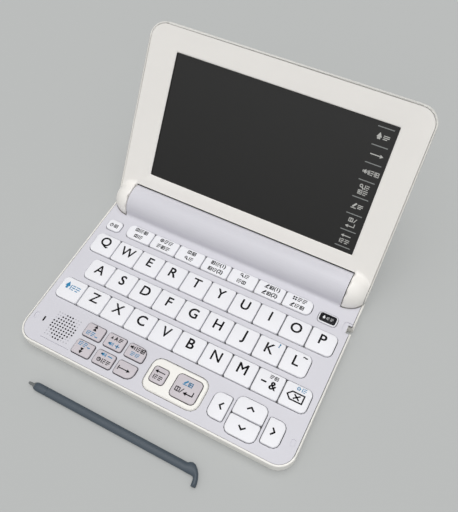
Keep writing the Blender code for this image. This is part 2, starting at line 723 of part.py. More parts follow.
def cut_side_sockets(case):
    low, high = -HALF_WIDTH - CUT_OVERRUN, -HALF_WIDTH + CASE_WALL + CUT_OVERRUN
    earphone = circle((HINGE_Y - EARPHONE_SETBACK, SOCKET_Z), EARPHONE_RADIUS, SMALL_ROUND_SEGMENTS)
    cut(case, prism(earphone, low, high, "x"))
    socket = rounded_rectangle((HINGE_Y - DATA_SOCKET_SETBACK, SOCKET_Z), DATA_SOCKET_LENGTH,
                               DATA_SOCKET_HEIGHT, DATA_SOCKET_CORNER, SMALL_CORNER_STEPS)
    cut(case, prism(socket, low, high, "x"))


def foot_groove(centre):
    """Ring groove that bounds one flush rubber foot."""
    outer = circle(centre, FOOT_RADIUS, SMALL_ROUND_SEGMENTS)
    inner = circle(centre, FOOT_RADIUS - FOOT_GROOVE, SMALL_ROUND_SEGMENTS)
    low, high = -CUT_OVERRUN, FOOT_GROOVE
    bm = bmesh.new()
    rings = []
    for outline, z in ((outer, low), (outer, high), (inner, high), (inner, low)):
        rings.append([bm.verts.new((x, y, z)) for x, y in outline])
    for ring, following in zip(rings, rings[1:] + rings[:1]):
        for index in range(len(ring)):
            after = (index + 1) % len(ring)
            bm.faces.new((ring[index], ring[after], following[after], following[index]))
    return bm


def build_deck():
    """Top plate with every key opening, running up over the hinge barrel."""
    plate = prism(case_outline(DECK_INSET, CASE_SIDE_REACH_Y), DECK_UNDER_Z, DECK_TOP_Z)
    deck = finish_object("keyboard_deck", plate, "deck_plastic")
    join(deck, barrel_cover())
    cut(deck, rod((HINGE_Y, HINGE_Z), BORE_RADIUS, -BARREL_HALF_LENGTH + BARREL_WALL,
                  BARREL_HALF_LENGTH - BARREL_WALL, "x"))
    for side in (-1, 1):
        low = BARREL_HALF_LENGTH - 2 * BARREL_WALL
        low, high = sorted((side * low, side * (BARREL_HALF_LENGTH + CUT_OVERRUN)))
        cut(deck, rod((HINGE_Y, HINGE_Z), SHAFT_RADIUS + SHAFT_CLEARANCE, low, high, "x", SHAFT_SEGMENTS))
        cut(deck, ear_recess(side))
    for outline in deck_openings():
        cut(deck, prism(outline, 0, HINGE_Z))
    cut_grille(deck)
    cut_moulded_marks(deck)
    cut(deck, silo_notch())
    smooth_rounds(deck)
    return deck


def barrel_cover():
    """Profile from the deck through a fillet, over the barrel and down to the rear seam."""
    drop = HINGE_Z - DECK_TOP_Z
    fillet_z = DECK_TOP_Z + BARREL_FILLET
    reach = math.sqrt((BARREL_RADIUS + BARREL_FILLET) ** 2 - (HINGE_Z - fillet_z) ** 2)
    fillet_centre = (HINGE_Y - reach, fillet_z)
    meet_deg = math.degrees(math.atan2(fillet_z - HINGE_Z, -reach)) % 360
    outline = [(fillet_centre[0] - drop, DECK_UNDER_Z), (fillet_centre[0] - drop, DECK_TOP_Z)]
    outline += arc(fillet_centre, BARREL_FILLET, -90, meet_deg - 180, FILLET_STEPS)
    outline += arc((HINGE_Y, HINGE_Z), BARREL_RADIUS, meet_deg, 0, ARC_STEPS)[1:]
    outline += [(HINGE_Y, HINGE_Z), (HINGE_Y, DECK_UNDER_Z)]
    return prism(outline, -BARREL_HALF_LENGTH, BARREL_HALF_LENGTH, "x")


def opening(centre, width, height, corners):
    """Outline a key gap larger than the key on every side."""
    if not isinstance(corners, (tuple, list)):
        corners = (corners,) * 4
    grown = [radius + KEY_GAP for radius in corners]
    return rounded_rectangle(centre, width + 2 * KEY_GAP, height + 2 * KEY_GAP, grown, OPENING_CORNER_STEPS)


def deck_openings():
    outlines = []
    for index, count in enumerate(ROW_KEYS):
        centre = (0, ROW_TOP_Y - ROW_PITCH * index)
        outlines.append(opening(centre, KEY_PITCH * count - KEY_BETWEEN, KEY_HEIGHT, KEY_END_CORNER))
    outlines.append(opening((STRIP_X, STRIP_Y), STRIP_WIDTH, STRIP_HEIGHT, STRIP_CORNER))
    outlines.append(opening((POWER_X, POWER_Y), POWER_WIDTH, POWER_HEIGHT, POWER_CORNER))
    outlines.append(opening((HOME_X, HOME_Y), HOME_WIDTH, HOME_HEIGHT, HOME_CORNER))
    for _, centre, corners in function_keys():
        outlines.append(opening(centre, FUNCTION_WIDTH, FUNCTION_HEIGHT, corners))
    outlines.append(opening((POD_X, CLUSTER_Y), POD_WIDTH, POD_HEIGHT, POD_CORNER))
    tall_height = 2 * TALL_ARROW_HEIGHT + KEY_BETWEEN
    outlines.append(opening((ARROW_X, CLUSTER_Y), TALL_ARROW_WIDTH, tall_height, ARROW_CORNER))
    for side in (-1, 1):
        centre = (ARROW_X + side * ARROW_STEP, CLUSTER_Y)
        outlines.append(opening(centre, SIDE_ARROW_WIDTH, SIDE_ARROW_HEIGHT, side_arrow_corners(side)))
    return outlines


def side_arrow_corners(side):
    if side < 0:
        return (ARROW_CORNER, KEY_CORNER, KEY_CORNER, ARROW_CORNER)
    return (KEY_CORNER, ARROW_CORNER, ARROW_CORNER, KEY_CORNER)


def grille_holes():
    """Places in a square grid that lie inside the round of the speaker."""
    reach = int(GRILLE_REACH_SHARE)
    for row in range(-reach, reach + 1):
        for column in range(-reach, reach + 1):
            if row * row + column * column <= GRILLE_REACH_SHARE * GRILLE_REACH_SHARE:
                yield SPEAKER_X + column * GRILLE_PITCH, CLUSTER_Y + row * GRILLE_PITCH


def cut_grille(deck):
    """Cut all speaker holes with one tool that holds a small prism for each."""
    bm = bmesh.new()
    for centre in grille_holes():
        outline = circle(centre, GRILLE_HOLE_RADIUS, HOLE_SEGMENTS, 180 / HOLE_SEGMENTS)
        face = bm.faces.new([bm.verts.new((x, y, DECK_UNDER_Z - CUT_OVERRUN)) for x, y in outline])
        grown = bmesh.ops.extrude_face_region(bm, geom=[face])
        moved = [part for part in grown["geom"] if isinstance(part, bmesh.types.BMVert)]
        bmesh.ops.translate(bm, verts=moved, vec=Vector((0, 0, DECK_THICKNESS + 2 * CUT_OVERRUN)))
    cut(deck, bm)


def cut_moulded_marks(deck):
    """Microphone slot, the two lid stops, the line by the speaker and the stylus scoop."""
    high = DECK_TOP_Z + CUT_OVERRUN
    slot = rounded_rectangle((-HALF_WIDTH + SLOT_INSET, CLUSTER_Y), SLOT_WIDTH, SLOT_LENGTH,
                             SLOT_WIDTH * ROUND_END_SHARE, SMALL_CORNER_STEPS)
    cut(deck, prism(slot, 0, high))
    floor = DECK_TOP_Z - MARK_DEPTH
    for side in (-1, 1):
        centre = (side * (HALF_WIDTH - STOP_INSET), CLUSTER_Y)
        stop = rounded_rectangle(centre, STOP_WIDTH, STOP_LENGTH, STOP_WIDTH * ROUND_END_SHARE,
                                 OPENING_CORNER_STEPS)
        cut(deck, prism(stop, floor, high))
    half = LINE_WIDTH / 2
    cut(deck, box((SPEAKER_X - LINE_LEFT_REACH, LINE_Y - half, floor),
                  (SPEAKER_X + LINE_RIGHT_REACH, LINE_Y + half, high)))
    width = SCOOP_REACH + CUT_OVERRUN
    centre = (HALF_WIDTH - SCOOP_REACH + width / 2, SILO_Y)
    scoop = rounded_rectangle(centre, width, SCOOP_WIDTH, SCOOP_CORNER, OPENING_CORNER_STEPS)
    cut(deck, prism(scoop, DECK_TOP_Z - SCOOP_DEPTH, high))


# Keys

def key_cap(name, centre, width, height, corners, finish="key_plastic", plate_under=DECK_UNDER_Z,
            steps=SMALL_CORNER_STEPS, recessed=False, front_reach=FLANGE_REACH, rear_reach=FLANGE_REACH):
    """Key with a rounded top edge and a flange that keeps it under its plate."""
    if not isinstance(corners, (tuple, list)):
        corners = (corners,) * 4

    def ring(inset, z):
        shrunk = [max(radius - inset, radius * TOP_CORNER_SHARE) for radius in corners]
        return at_height(rounded_rectangle(centre, width - 2 * inset, height - 2 * inset, shrunk, steps), z)

    top = KEY_TOP_Z
    loops = [ring(0, KEY_BOTTOM_Z)]
    if recessed:
        edge = HOME_STEP / 4
        loops += [ring(0, top - HOME_STEP), ring(HOME_RING, top - HOME_STEP), ring(HOME_RING, top - edge)]
        loops.append(ring(HOME_RING + edge, top))
    else:
        loops += [ring(0, top - KEY_EDGE), ring(KEY_EDGE, top)]
    key = finish_object(name, loft(loops), finish)
    flange_top = plate_under - SEAM_GAP
    half_w = width / 2 - FLANGE_INSET - max(corners) * FLANGE_CORNER_SHARE
    low = (centre[0] - half_w, centre[1] - height / 2 - front_reach, KEY_BOTTOM_Z)
    high = (centre[0] + half_w, centre[1] + height / 2 + rear_reach, flange_top)
    join(key, box(low, high))
    smooth_rounds(key)
    set_origin(key, (centre[0], centre[1], KEY_BOTTOM_Z))
    return key


def end_corners(index, count):
    """Radii of a key in a row: only the outer corners of the end keys are large."""
    left = KEY_END_CORNER if index == 0 else KEY_CORNER
    right = KEY_END_CORNER if index == count - 1 else KEY_CORNER
    return (left, right, right, left)


def build_letter_rows():
    rows = []
    for letters in LETTER_ROWS:
        rows.append(["key_" + letter.lower() for letter in letters])
    rows[-1] = ["shift_key"] + rows[-1] + ["dash_key", "delete_key"]
    for row_index, names in enumerate(rows):
        y = ROW_TOP_Y - ROW_PITCH * row_index
        for index, name in enumerate(names):
            x = (index - (len(names) - 1) / 2) * KEY_PITCH
            steps = OPENING_CORNER_STEPS if index in (0, len(names) - 1) else SMALL_CORNER_STEPS
            key_cap(name, (x, y), KEY_WIDTH, KEY_HEIGHT, end_corners(index, len(names)), steps=steps)


def build_strip():
    """Seven thin dictionary keys in one long opening."""
    for index in range(STRIP_KEYS):
        x = STRIP_X + (index - (STRIP_KEYS - 1) / 2) * STRIP_PITCH
        left = STRIP_CORNER if index == 0 else KEY_CORNER
        right = STRIP_CORNER if index == STRIP_KEYS - 1 else KEY_CORNER
        key_cap("dictionary_key_" + str(index + 1), (x, STRIP_Y), STRIP_PITCH - KEY_BETWEEN, STRIP_HEIGHT,
                (left, right, right, left))


def function_keys():
    """Name, centre and corner radii of the six function keys."""
    names = (("page_up_key", "volume_up_key", "voice_key"), ("page_down_key", "volume_down_key", "jump_key"))
    small, large = FUNCTION_CORNER, FUNCTION_END_CORNER
    keys = []
    for row, row_names in enumerate(names):
        for column, name in enumerate(row_names):
            centre = (FUNCTION_X + column * FUNCTION_PITCH_X, FUNCTION_Y - row * FUNCTION_PITCH_Y)
            corners = [small] * 4
            if column == 2:
                corners[2 if row == 0 else 1] = large
            keys.append((name, centre, tuple(corners)))
    return keys


def build_small_keys():
    key_cap("power_key", (POWER_X, POWER_Y), POWER_WIDTH, POWER_HEIGHT, POWER_CORNER)
    key_cap("home_key", (HOME_X, HOME_Y), HOME_WIDTH, HOME_HEIGHT, HOME_CORNER, "home_key_plastic",
            recessed=True)
    for name, centre, corners in function_keys():
        key_cap(name, centre, FUNCTION_WIDTH, FUNCTION_HEIGHT, corners, "function_key_plastic")


def build_arrow_keys():
    """Up and down keys share an opening, so each keeps its flange on its outer side only."""
    small, large = KEY_CORNER, ARROW_CORNER
    key_cap("arrow_up_key", (ARROW_X, CLUSTER_Y + TALL_ARROW_OFFSET), TALL_ARROW_WIDTH, TALL_ARROW_HEIGHT,
            (small, small, large, large), front_reach=-KEY_GAP)
    key_cap("arrow_down_key", (ARROW_X, CLUSTER_Y - TALL_ARROW_OFFSET), TALL_ARROW_WIDTH, TALL_ARROW_HEIGHT,
            (large, large, small, small), rear_reach=-KEY_GAP)
    for side, name in ((-1, "arrow_left_key"), (1, "arrow_right_key")):
        key_cap(name, (ARROW_X + side * ARROW_STEP, CLUSTER_Y), SIDE_ARROW_WIDTH, SIDE_ARROW_HEIGHT,
                side_arrow_corners(side))


def pod_outline(grow):
    width, height = POD_WIDTH + 2 * grow, POD_HEIGHT + 2 * grow
    return rounded_rectangle((POD_X, CLUSTER_Y), width, height, POD_CORNER + grow, FILLET_STEPS)


def build_pod():
    """Raised cream surround, hollow underneath, with its back key and enter key."""
    sections = ((FLANGE_REACH, KEY_BOTTOM_Z), (FLANGE_REACH, FLANGE_TOP_Z), (0, FLANGE_TOP_Z),
                (0, POD_TOP_Z - POD_EDGE), (-POD_EDGE, POD_TOP_Z))
    pod = finish_object("enter_key_surround", loft([at_height(pod_outline(grow), z) for grow, z in sections]))
    plate_under = POD_TOP_Z - POD_PLATE
    cut(pod, prism(pod_outline(-POD_WALL), KEY_BOTTOM_Z - CUT_OVERRUN, plate_under))
    keys = (("back_key", BACK_KEY_X, BACK_KEY_SHARES[1], BACK_KEY_MARGIN, BACK_KEY_CORNER),
            ("enter_key", ENTER_KEY_X, ENTER_KEY_SHARES[1], ENTER_KEY_MARGIN, ENTER_KEY_CORNER))
    for name, x, width_share, margin, corner in keys:
        centre = (x, CLUSTER_Y)
        width, height = width_share * POD_WIDTH, POD_HEIGHT - 2 * margin
        cut(pod, prism(opening(centre, width, height, corner), KEY_BOTTOM_Z, POD_TOP_Z + CUT_OVERRUN))
        key_cap(name, centre, width, height, corner, "function_key_plastic", plate_under=plate_under)
    smooth_rounds(pod)
    return pod


# Inside the base

def key_dome_places():
    places = []
    for index, count in enumerate(ROW_KEYS):
        y = ROW_TOP_Y - ROW_PITCH * index
        places += [((column - (count - 1) / 2) * KEY_PITCH, y) for column in range(count)]
    places += [centre for _, centre, _ in function_keys()]
    places += [(x, CLUSTER_Y) for x in (BACK_KEY_X, ENTER_KEY_X, ARROW_X - ARROW_STEP, ARROW_X + ARROW_STEP)]
    places += [(ARROW_X, CLUSTER_Y + TALL_ARROW_OFFSET), (ARROW_X, CLUSTER_Y - TALL_ARROW_OFFSET)]
    return places


def build_board():
    """Circuit board with a low dome under each key and the speaker under its grille."""
    front = CASE_FRONT_Y + BOARD_MARGIN
    rear = SILO_Y - SILO_WIDTH / 2 - SILO_WALL - BOARD_SILO_GAP
    outline = rounded_rectangle((0, (rear + front) / 2), CASE_WIDTH - 2 * BOARD_MARGIN, rear - front,
                                CORNER_RADIUS - BOARD_MARGIN, OPENING_CORNER_STEPS)
    board = finish_object("main_board", prism(outline, BOARD_Z, BOARD_TOP_Z), "board_laminate")
    bm = bmesh.new()
    sunk_z = BOARD_TOP_Z - BOARD_THICKNESS / 2
    for centre in key_dome_places():
        low = [bm.verts.new((x, y, sunk_z)) for x, y in circle(centre, DOME_RADIUS, DOME_SEGMENTS)]
        high = [bm.verts.new((x, y, DOME_TOP_Z)) for x, y in circle(centre, DOME_TOP_RADIUS, DOME_SEGMENTS)]
        bm.faces.new(low)
        bm.faces.new(high)
        bridge_rings(bm, low, high)
    join(board, bm)
    join(board, speaker())
    smooth_rounds(board)
    return board


def speaker():
    """Round speaker with a stepped frame and a dished cone, standing in the board."""
    foot_z = BOARD_Z + BOARD_THICKNESS / 2
    middle = (foot_z + FLANGE_TOP_Z) / 2
    cone = SPEAKER_RADIUS - SPEAKER_FRAME
    sections = ((cone, foot_z), (cone, middle), (SPEAKER_RADIUS, middle + SPEAKER_DISH),
                (SPEAKER_RADIUS, FLANGE_TOP_Z), (cone, FLANGE_TOP_Z),
                (cone / 3, FLANGE_TOP_Z - SPEAKER_DISH))
    loops = []
    for radius, z in sections:
        loops.append(at_height(circle((SPEAKER_X, CLUSTER_Y), radius, SMALL_ROUND_SEGMENTS), z))
    return loft(loops)


def build_batteries():
    """Two penlight cells end to end: the nub of one presses on the flat end of the other."""
    z = HINGE_Z - (BORE_RADIUS - CELL_RADIUS - SEAM_GAP)
    edge_radius = CELL_RADIUS - CELL_EDGE
    profile = []
    for start in (-CELL_LENGTH - CELL_NUB_LENGTH, 0):
        end = start + CELL_LENGTH
        profile += [(start, edge_radius), (start + CELL_EDGE, CELL_RADIUS)]
        profile += [(end - CELL_EDGE, CELL_RADIUS), (end, edge_radius)]
        profile += [(end, CELL_NUB_RADIUS), (end + CELL_NUB_LENGTH, CELL_NUB_RADIUS)]
    cells = finish_object("batteries", turned(profile, HINGE_Y, z, SHAFT_SEGMENTS), "cell_jacket")
    smooth_rounds(cells)
    return cells


# Lid, drawn closed with its hinge axis along X through the origin

def lid_back_height(x):
    """Height of the lid's back at a distance x from the middle, round its side edge."""
    over = max(0.0, x - (HALF_WIDTH - LID_BACK_BEVEL))
    return LID_BACK_Z - LID_BACK_BEVEL + math.sqrt(max(0.0, LID_BACK_BEVEL ** 2 - over ** 2))


def tip_section(x):
    """Far edge of the lid at x, from its face up round the back edge, as (reach, height)."""
    beyond = max(0.0, x - (HALF_WIDTH - CORNER_RADIUS))
    over = max(0.0, x - (HALF_WIDTH - LID_BACK_BEVEL))
    last_deg = math.degrees(math.acos(min(1.0, over / LID_BACK_BEVEL)))
    corner_reach = CASE_DEPTH - CORNER_RADIUS

    def at(distance_out):
        radius = CORNER_RADIUS - LID_BACK_BEVEL + distance_out
        return corner_reach + math.sqrt(max(0.0, radius ** 2 - beyond ** 2))

    points = [(at(LID_BACK_BEVEL), LID_FACE_Z)]
    for step in range(CORNER_STEPS):
        angle = math.radians(last_deg * step / (CORNER_STEPS - 1))
        height = LID_BACK_Z - LID_BACK_BEVEL + LID_BACK_BEVEL * math.sin(angle)
        points.append((at(LID_BACK_BEVEL * math.cos(angle)), height))
    return points


def ear_section(x):
    """Near edge of the lid at x in an ear: round the axis, with fillets into back and face."""
    radius = ear_radius(x)
    back_z = lid_back_height(x)
    end_radius = ear_radius(HALF_WIDTH)
    fade = (radius - end_radius) / (EAR_RADIUS - end_radius)
    crest = back_z + EAR_BACK_STEP + (EAR_RADIUS - LID_BACK_Z - EAR_BACK_STEP) * fade

    centre_z = back_z + EAR_BACK_FILLET
    back_reach = math.sqrt((crest + EAR_BACK_FILLET) ** 2 - centre_z ** 2)
    back_deg = math.degrees(math.atan2(centre_z, back_reach))
    points = arc((back_reach, centre_z), EAR_BACK_FILLET, 270, 180 + back_deg, EAR_BACK_STEPS)
    points += arc((0, 0), crest, back_deg, 90, EAR_BACK_STEPS)[1:]
    points += ellipse_arc((0, 0), (radius, crest), 90, 180, EAR_REAR_STEPS)[1:]

    front_z = LID_FACE_Z - EAR_FRONT_FILLET
    front_reach = math.sqrt((radius + EAR_FRONT_FILLET) ** 2 - front_z ** 2)
    meet_deg = math.degrees(math.atan2(front_z, front_reach)) + 360
    points += arc((0, 0), radius, 180, meet_deg, EAR_FRONT_STEPS)[1:]
    points += arc((front_reach, front_z), EAR_FRONT_FILLET, meet_deg - 180, 90, FILLET_STEPS)[1:]
    return points


def barrel_end_section():
    """Near edge of the lid between the ears, hollow round the barrel, from back to face."""
    points = []
    for step in range(CORNER_STEPS + 1):
        height = LID_BACK_Z + (LID_FACE_Z - LID_BACK_Z) * step / CORNER_STEPS
        points.append((math.sqrt(LID_END_RADIUS ** 2 - height ** 2), height))
    return points


def bridge_rings(bm, near, far):
    for index in range(len(near)):
        after = (index + 1) % len(near)
        bm.faces.new((near[index], near[after], far[after], far[index]))


def lid_form(name, finish):
    """Outer form of the lid, which the bezel and the back cover are both cut from.

    Sections run from tip to ear and are skinned sideways; a flat web closes each ear's inner side.
    """
    bm = bmesh.new()

    def ring(points, x):
        return [bm.verts.new((x, -reach, height)) for reach, height in points]

    stations = [EAR_INNER_X]
    for step in range(LID_END_STEPS + 1):
        turn = math.radians(90 * step / LID_END_STEPS)
        stations.append(HALF_WIDTH - CORNER_RADIUS * (1 - math.sin(turn)))
    tip = tip_section(EAR_INNER_X)
    ear_near = ear_section(EAR_INNER_X)
    barrel_end = barrel_end_section()
    middle = tip + [ear_near[0]] + barrel_end + [ear_near[-1]]
    bridge_rings(bm, ring(middle, -EAR_INNER_X), ring(middle, EAR_INNER_X))
    for side in (-1, 1):
        rings = [ring(tip_section(x) + ear_section(x), side * x) for x in stations]
        for near, far in zip(rings, rings[1:]):
            bridge_rings(bm, near, far)
        bm.faces.new(rings[-1])
        bm.faces.new(ring(ear_near + barrel_end[::-1], side * EAR_INNER_X))
    bmesh.ops.remove_doubles(bm, verts=bm.verts, dist=WELD_DISTANCE)
    form = finish_object(name, bm, finish)
    bore_end = BARREL_HALF_LENGTH + SHAFT_REACH + SEAM_GAP
    for side in (-1, 1):
        low, high = sorted((side * (EAR_INNER_X - CUT_OVERRUN), side * bore_end))
        cut(form, rod((0, 0), SHAFT_RADIUS + SHAFT_CLEARANCE, low, high, "x", ROUND_SEGMENTS // 2))
    return form


def bezel_region(gap):
    """Space inside the rim that the bezel takes up, larger by a gap for the back cover."""
    inset = LID_WALL + RIM_SEAM - gap
    return prism(lid_outline(inset, 2 * EAR_RADIUS), LID_FACE_Z - 2 * EAR_RADIUS, BEZEL_BACK_Z + gap)


def screen_outline(grow):
    """Outline of the visible screen, or of a piece that is larger by the given amount all round."""
    centre = ((SCREEN_LEFT_X + SCREEN_RIGHT_X) / 2, -(SCREEN_NEAR + SCREEN_FAR) / 2)
    width = SCREEN_RIGHT_X - SCREEN_LEFT_X + 2 * grow
    height = SCREEN_FAR - SCREEN_NEAR + 2 * grow
    return rounded_rectangle(centre, width, height, SCREEN_CORNER, SMALL_CORNER_STEPS)


def build_bezel():
    """Front of the lid, with a bevelled window for the screen."""
    bezel = lid_form("lid_bezel", "bezel_plastic")
    keep_inside(bezel, bezel_region(0))
    loops = [at_height(screen_outline(WINDOW_BEVEL + CUT_OVERRUN), LID_FACE_Z - CUT_OVERRUN)]
    loops.append(at_height(screen_outline(0), LID_FACE_Z + WINDOW_BEVEL))
    loops.append(at_height(screen_outline(0), BEZEL_BACK_Z + CUT_OVERRUN))
    cut(bezel, loft(loops))
    smooth_rounds(bezel)
    return bezel


def build_back_cover():
    cover = lid_form("lid_back_cover", "case_plastic")
    cut(cover, bezel_region(RIM_SEAM))
    cavity = lid_outline(LID_WALL + LID_LEDGE, -LID_END_RADIUS - LID_END_WALL)
    cut(cover, prism(cavity, BEZEL_BACK_Z, LID_BACK_Z - LID_BACK_WALL))
    smooth_rounds(cover)
    return cover


def build_display():
    """Touch panel bonded on the slightly smaller display behind it."""
    glass_z = BEZEL_BACK_Z + SEAM_GAP
    back_z = glass_z + GLASS_THICKNESS
    sections = ((SCREEN_LAP, glass_z), (SCREEN_LAP, back_z), (LCD_INSET, back_z),
                (LCD_INSET, back_z + LCD_THICKNESS))
    loops = [at_height(screen_outline(lap), z) for lap, z in sections]
    return finish_object("display_module", loft(loops), "screen_glass")


def build_lid():
    """Draw the lid closed, then hang it on its hinge axis at the opening angle."""
    hinge = bpy.data.objects.new("lid_hinge", None)
    bpy.context.collection.objects.link(hinge)
    hinge.location = (0, HINGE_Y, HINGE_Z)
    hinge.rotation_euler = (-math.radians(LID_OPEN_DEG), 0, 0)
    for item in (build_bezel(), build_back_cover(), build_display()):
        item.parent = hinge


# Stylus

def stylus_ring(outer, inner, thickness):
    """Oval section between two edge points in plan."""
    middle = ((outer[0] + inner[0]) / 2, (outer[1] + inner[1]) / 2)
    reach = ((outer[0] - inner[0]) / 2, (outer[1] - inner[1]) / 2)
    loop = []
    for index in range(STYLUS_SEGMENTS):
        angle = math.tau * index / STYLUS_SEGMENTS
        across, rise = math.cos(angle), math.sin(angle)
        square = (abs(across) ** STYLUS_POWER + abs(rise) ** STYLUS_POWER) ** (-1 / STYLUS_POWER)
        across, rise = across * square, rise * square
        loop.append((middle[0] + reach[0] * across, middle[1] + reach[1] * across,
                     STYLUS_HEIGHT / 2 + thickness / 2 * rise))
    return loop


def build_stylus():
    """Flat rod with a soft tip, a ring groove and a hooked end to pull it out by."""
    loops = []

    def straight(x, half_width, thickness):
        loops.append(stylus_ring((x, STYLUS_Y + half_width), (x, STYLUS_Y - half_width), thickness))

    for along, half_share in TIP_SHARES:
        x = STYLUS_TIP_X + along * STYLUS_WIDTH
        straight(x, half_share * STYLUS_WIDTH, 2 * half_share * STYLUS_HEIGHT)
    half = STYLUS_WIDTH / 2
    groove_half = half - STYLUS_GROOVE_DEPTH
    groove_thickness = STYLUS_HEIGHT - 2 * STYLUS_GROOVE_DEPTH
    groove_x = STYLUS_TIP_X + STYLUS_GROOVE_REACH
    inner_reach = STYLUS_GROOVE_WIDTH / 2
    outer_reach = inner_reach + STYLUS_GROOVE_DEPTH / 2
    straight(groove_x - outer_reach, half, STYLUS_HEIGHT)
    straight(groove_x - inner_reach, groove_half, groove_thickness)
    straight(groove_x + inner_reach, groove_half, groove_thickness)
    straight(groove_x + outer_reach, half, STYLUS_HEIGHT)
    straight(STYLUS_SHAFT_END_X, half, STYLUS_HEIGHT)
    for outer, inner in HOOK_SHARES:
        edges = [(STYLUS_SHAFT_END_X + along * STYLUS_WIDTH, STYLUS_Y + across * STYLUS_WIDTH)
                 for along, across in (outer, inner)]
        loops.append(stylus_ring(edges[0], edges[1], STYLUS_HEIGHT))
    stylus = finish_object("stylus", loft(loops), "stylus_plastic")
    smooth_rounds(stylus, STYLUS_SMOOTH_DEG)
    set_origin(stylus, (0, STYLUS_Y, 0))
    return stylus


def build():
    clear_scene()
    make_materials()
    build_bottom_case()
    build_deck()
    build_pod()
    build_battery_cover()
    build_batteries()
    build_board()
    build_letter_rows()
    build_strip()
    build_small_keys()
    build_arrow_keys()
    build_lid()
    build_stylus()


build()
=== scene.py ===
# %% [markdown]
# # A folding electronic dictionary
# The object is a pocket dictionary: a keyboard base, a lid that turns on a round barrel, and a
# loose stylus. Its solids could be drawn again here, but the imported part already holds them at
# their true size and place, so it is loaded first and never moved. The rest of the script gives
# the solids their finishes, swaps the key caps for finer ones, prints the legends, and sets up
# the light and the camera.

# %% Load the frame
import json
import math

import bpy
from mathutils import Matrix, Vector

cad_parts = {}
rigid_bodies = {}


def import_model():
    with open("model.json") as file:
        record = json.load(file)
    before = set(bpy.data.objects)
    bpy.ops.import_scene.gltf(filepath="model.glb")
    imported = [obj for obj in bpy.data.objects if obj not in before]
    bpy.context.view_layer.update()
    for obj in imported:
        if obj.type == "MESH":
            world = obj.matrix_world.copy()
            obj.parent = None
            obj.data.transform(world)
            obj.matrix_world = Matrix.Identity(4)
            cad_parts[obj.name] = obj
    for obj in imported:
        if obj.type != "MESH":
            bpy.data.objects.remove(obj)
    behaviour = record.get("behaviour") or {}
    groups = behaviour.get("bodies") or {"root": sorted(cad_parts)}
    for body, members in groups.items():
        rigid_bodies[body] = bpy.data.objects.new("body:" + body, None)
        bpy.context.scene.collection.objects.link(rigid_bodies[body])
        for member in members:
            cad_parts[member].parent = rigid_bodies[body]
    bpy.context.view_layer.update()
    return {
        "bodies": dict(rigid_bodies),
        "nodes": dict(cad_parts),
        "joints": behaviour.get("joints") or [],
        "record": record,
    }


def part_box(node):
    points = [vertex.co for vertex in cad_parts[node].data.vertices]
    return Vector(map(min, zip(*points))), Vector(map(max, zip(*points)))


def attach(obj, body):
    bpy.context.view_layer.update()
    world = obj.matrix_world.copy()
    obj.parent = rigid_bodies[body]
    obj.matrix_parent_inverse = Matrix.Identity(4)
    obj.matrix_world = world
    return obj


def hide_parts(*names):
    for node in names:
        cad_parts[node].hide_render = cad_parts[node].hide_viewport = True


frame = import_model()
nodes = frame["nodes"]
MM = 0.001

# %% [markdown]
# ## Colours and nodes
# A colour that is read from a picture has three numbers from 0 to 255, while Blender's sockets
# want linear light from 0 to 1. The colour picker could convert them one by one. A small function
# is used instead, because it keeps the numbers of the picture in the script. A second helper adds
# a node together with its settings and the values of its sockets, so a material stays short to
# read.

# %% Colour and node helpers
def linear(channel):
    """Linear light of one colour channel of a picture."""
    share = channel / 255
    return share / 12.92 if share <= 0.04045 else ((share + 0.055) / 1.055) ** 2.4


def socket_colour(colour, factor=1.0):
    """Four numbers for a colour socket, made darker or lighter by a factor."""
    return (*[min(1.0, linear(channel) * factor) for channel in colour], 1.0)


def add_node(tree, kind, values=None, **settings):
    """Add a node with its settings, then set the values of its sockets."""
    node = tree.nodes.new(kind)
    for setting, value in settings.items():
        setattr(node, setting, value)
    for socket, value in (values or {}).items():
        node.inputs[socket].default_value = value
    return node


print("a picture grey of 128 is", round(linear(128), 3), "in linear light")

# %% [markdown]
# ## Plastic
# Almost every visible finish is a moulded plastic or a print on it. In a photograph such a
# surface shows by its colour, by the width of its highlight and by a very fine texture from the
# mould. An image could carry all that, but noise nodes need no file and have no seams. A slow
# cloud varies the colour a little, and the lavender deck also has small paler flecks.

# %% Cloud and flecks
CLOUD_SCALE = 60.0
FLECK_SCALE = 5200.0
FLECK_REACH = 0.5
FLECK_SHARE = 0.35


def cloudy_colour(tree, where, colour, cloud):
    """Colour that drifts slowly between a darker and a lighter value."""
    slow = add_node(tree, "ShaderNodeTexNoise", {"Scale": CLOUD_SCALE, "Detail": 3.0})
    tree.links.new(where, slow.inputs["Vector"])
    ends = {"A": socket_colour(colour, 1 - cloud), "B": socket_colour(colour, 1 + cloud)}
    tint = add_node(tree, "ShaderNodeMix", ends, data_type="RGBA")
    tree.links.new(slow.outputs["Fac"], tint.inputs["Factor"])
    return tint.outputs["Result"]


def flecked_colour(tree, where, ground, fleck_colour):
    """The ground's colour with flecks in the middles of small cells."""
    cells = add_node(tree, "ShaderNodeTexVoronoi", {"Scale": FLECK_SCALE})
    tree.links.new(where, cells.inputs["Vector"])
    spread = add_node(tree, "ShaderNodeMapRange",
                      {"From Max": FLECK_REACH, "To Min": FLECK_SHARE, "To Max": 0.0})
    tree.links.new(cells.outputs["Distance"], spread.inputs["Value"])
    fleck = add_node(tree, "ShaderNodeMix", {"B": socket_colour(fleck_colour)}, data_type="RGBA")
    tree.links.new(spread.outputs["Result"], fleck.inputs["Factor"])
    tree.links.new(ground, fleck.inputs["A"])
    return fleck.outputs["Result"]


print("one cloud is about", round(1000 / CLOUD_SCALE), "mm wide")

# %% [markdown]
# A fine noise varies the roughness and bends the light as if the surface rose and fell by up to a
# fiftieth of a millimetre. It could be real relief in the mesh, but at this size only the
# highlight shows it, so a bump is enough. Every pattern reads Object coordinates and stays in
# place when a piece moves.

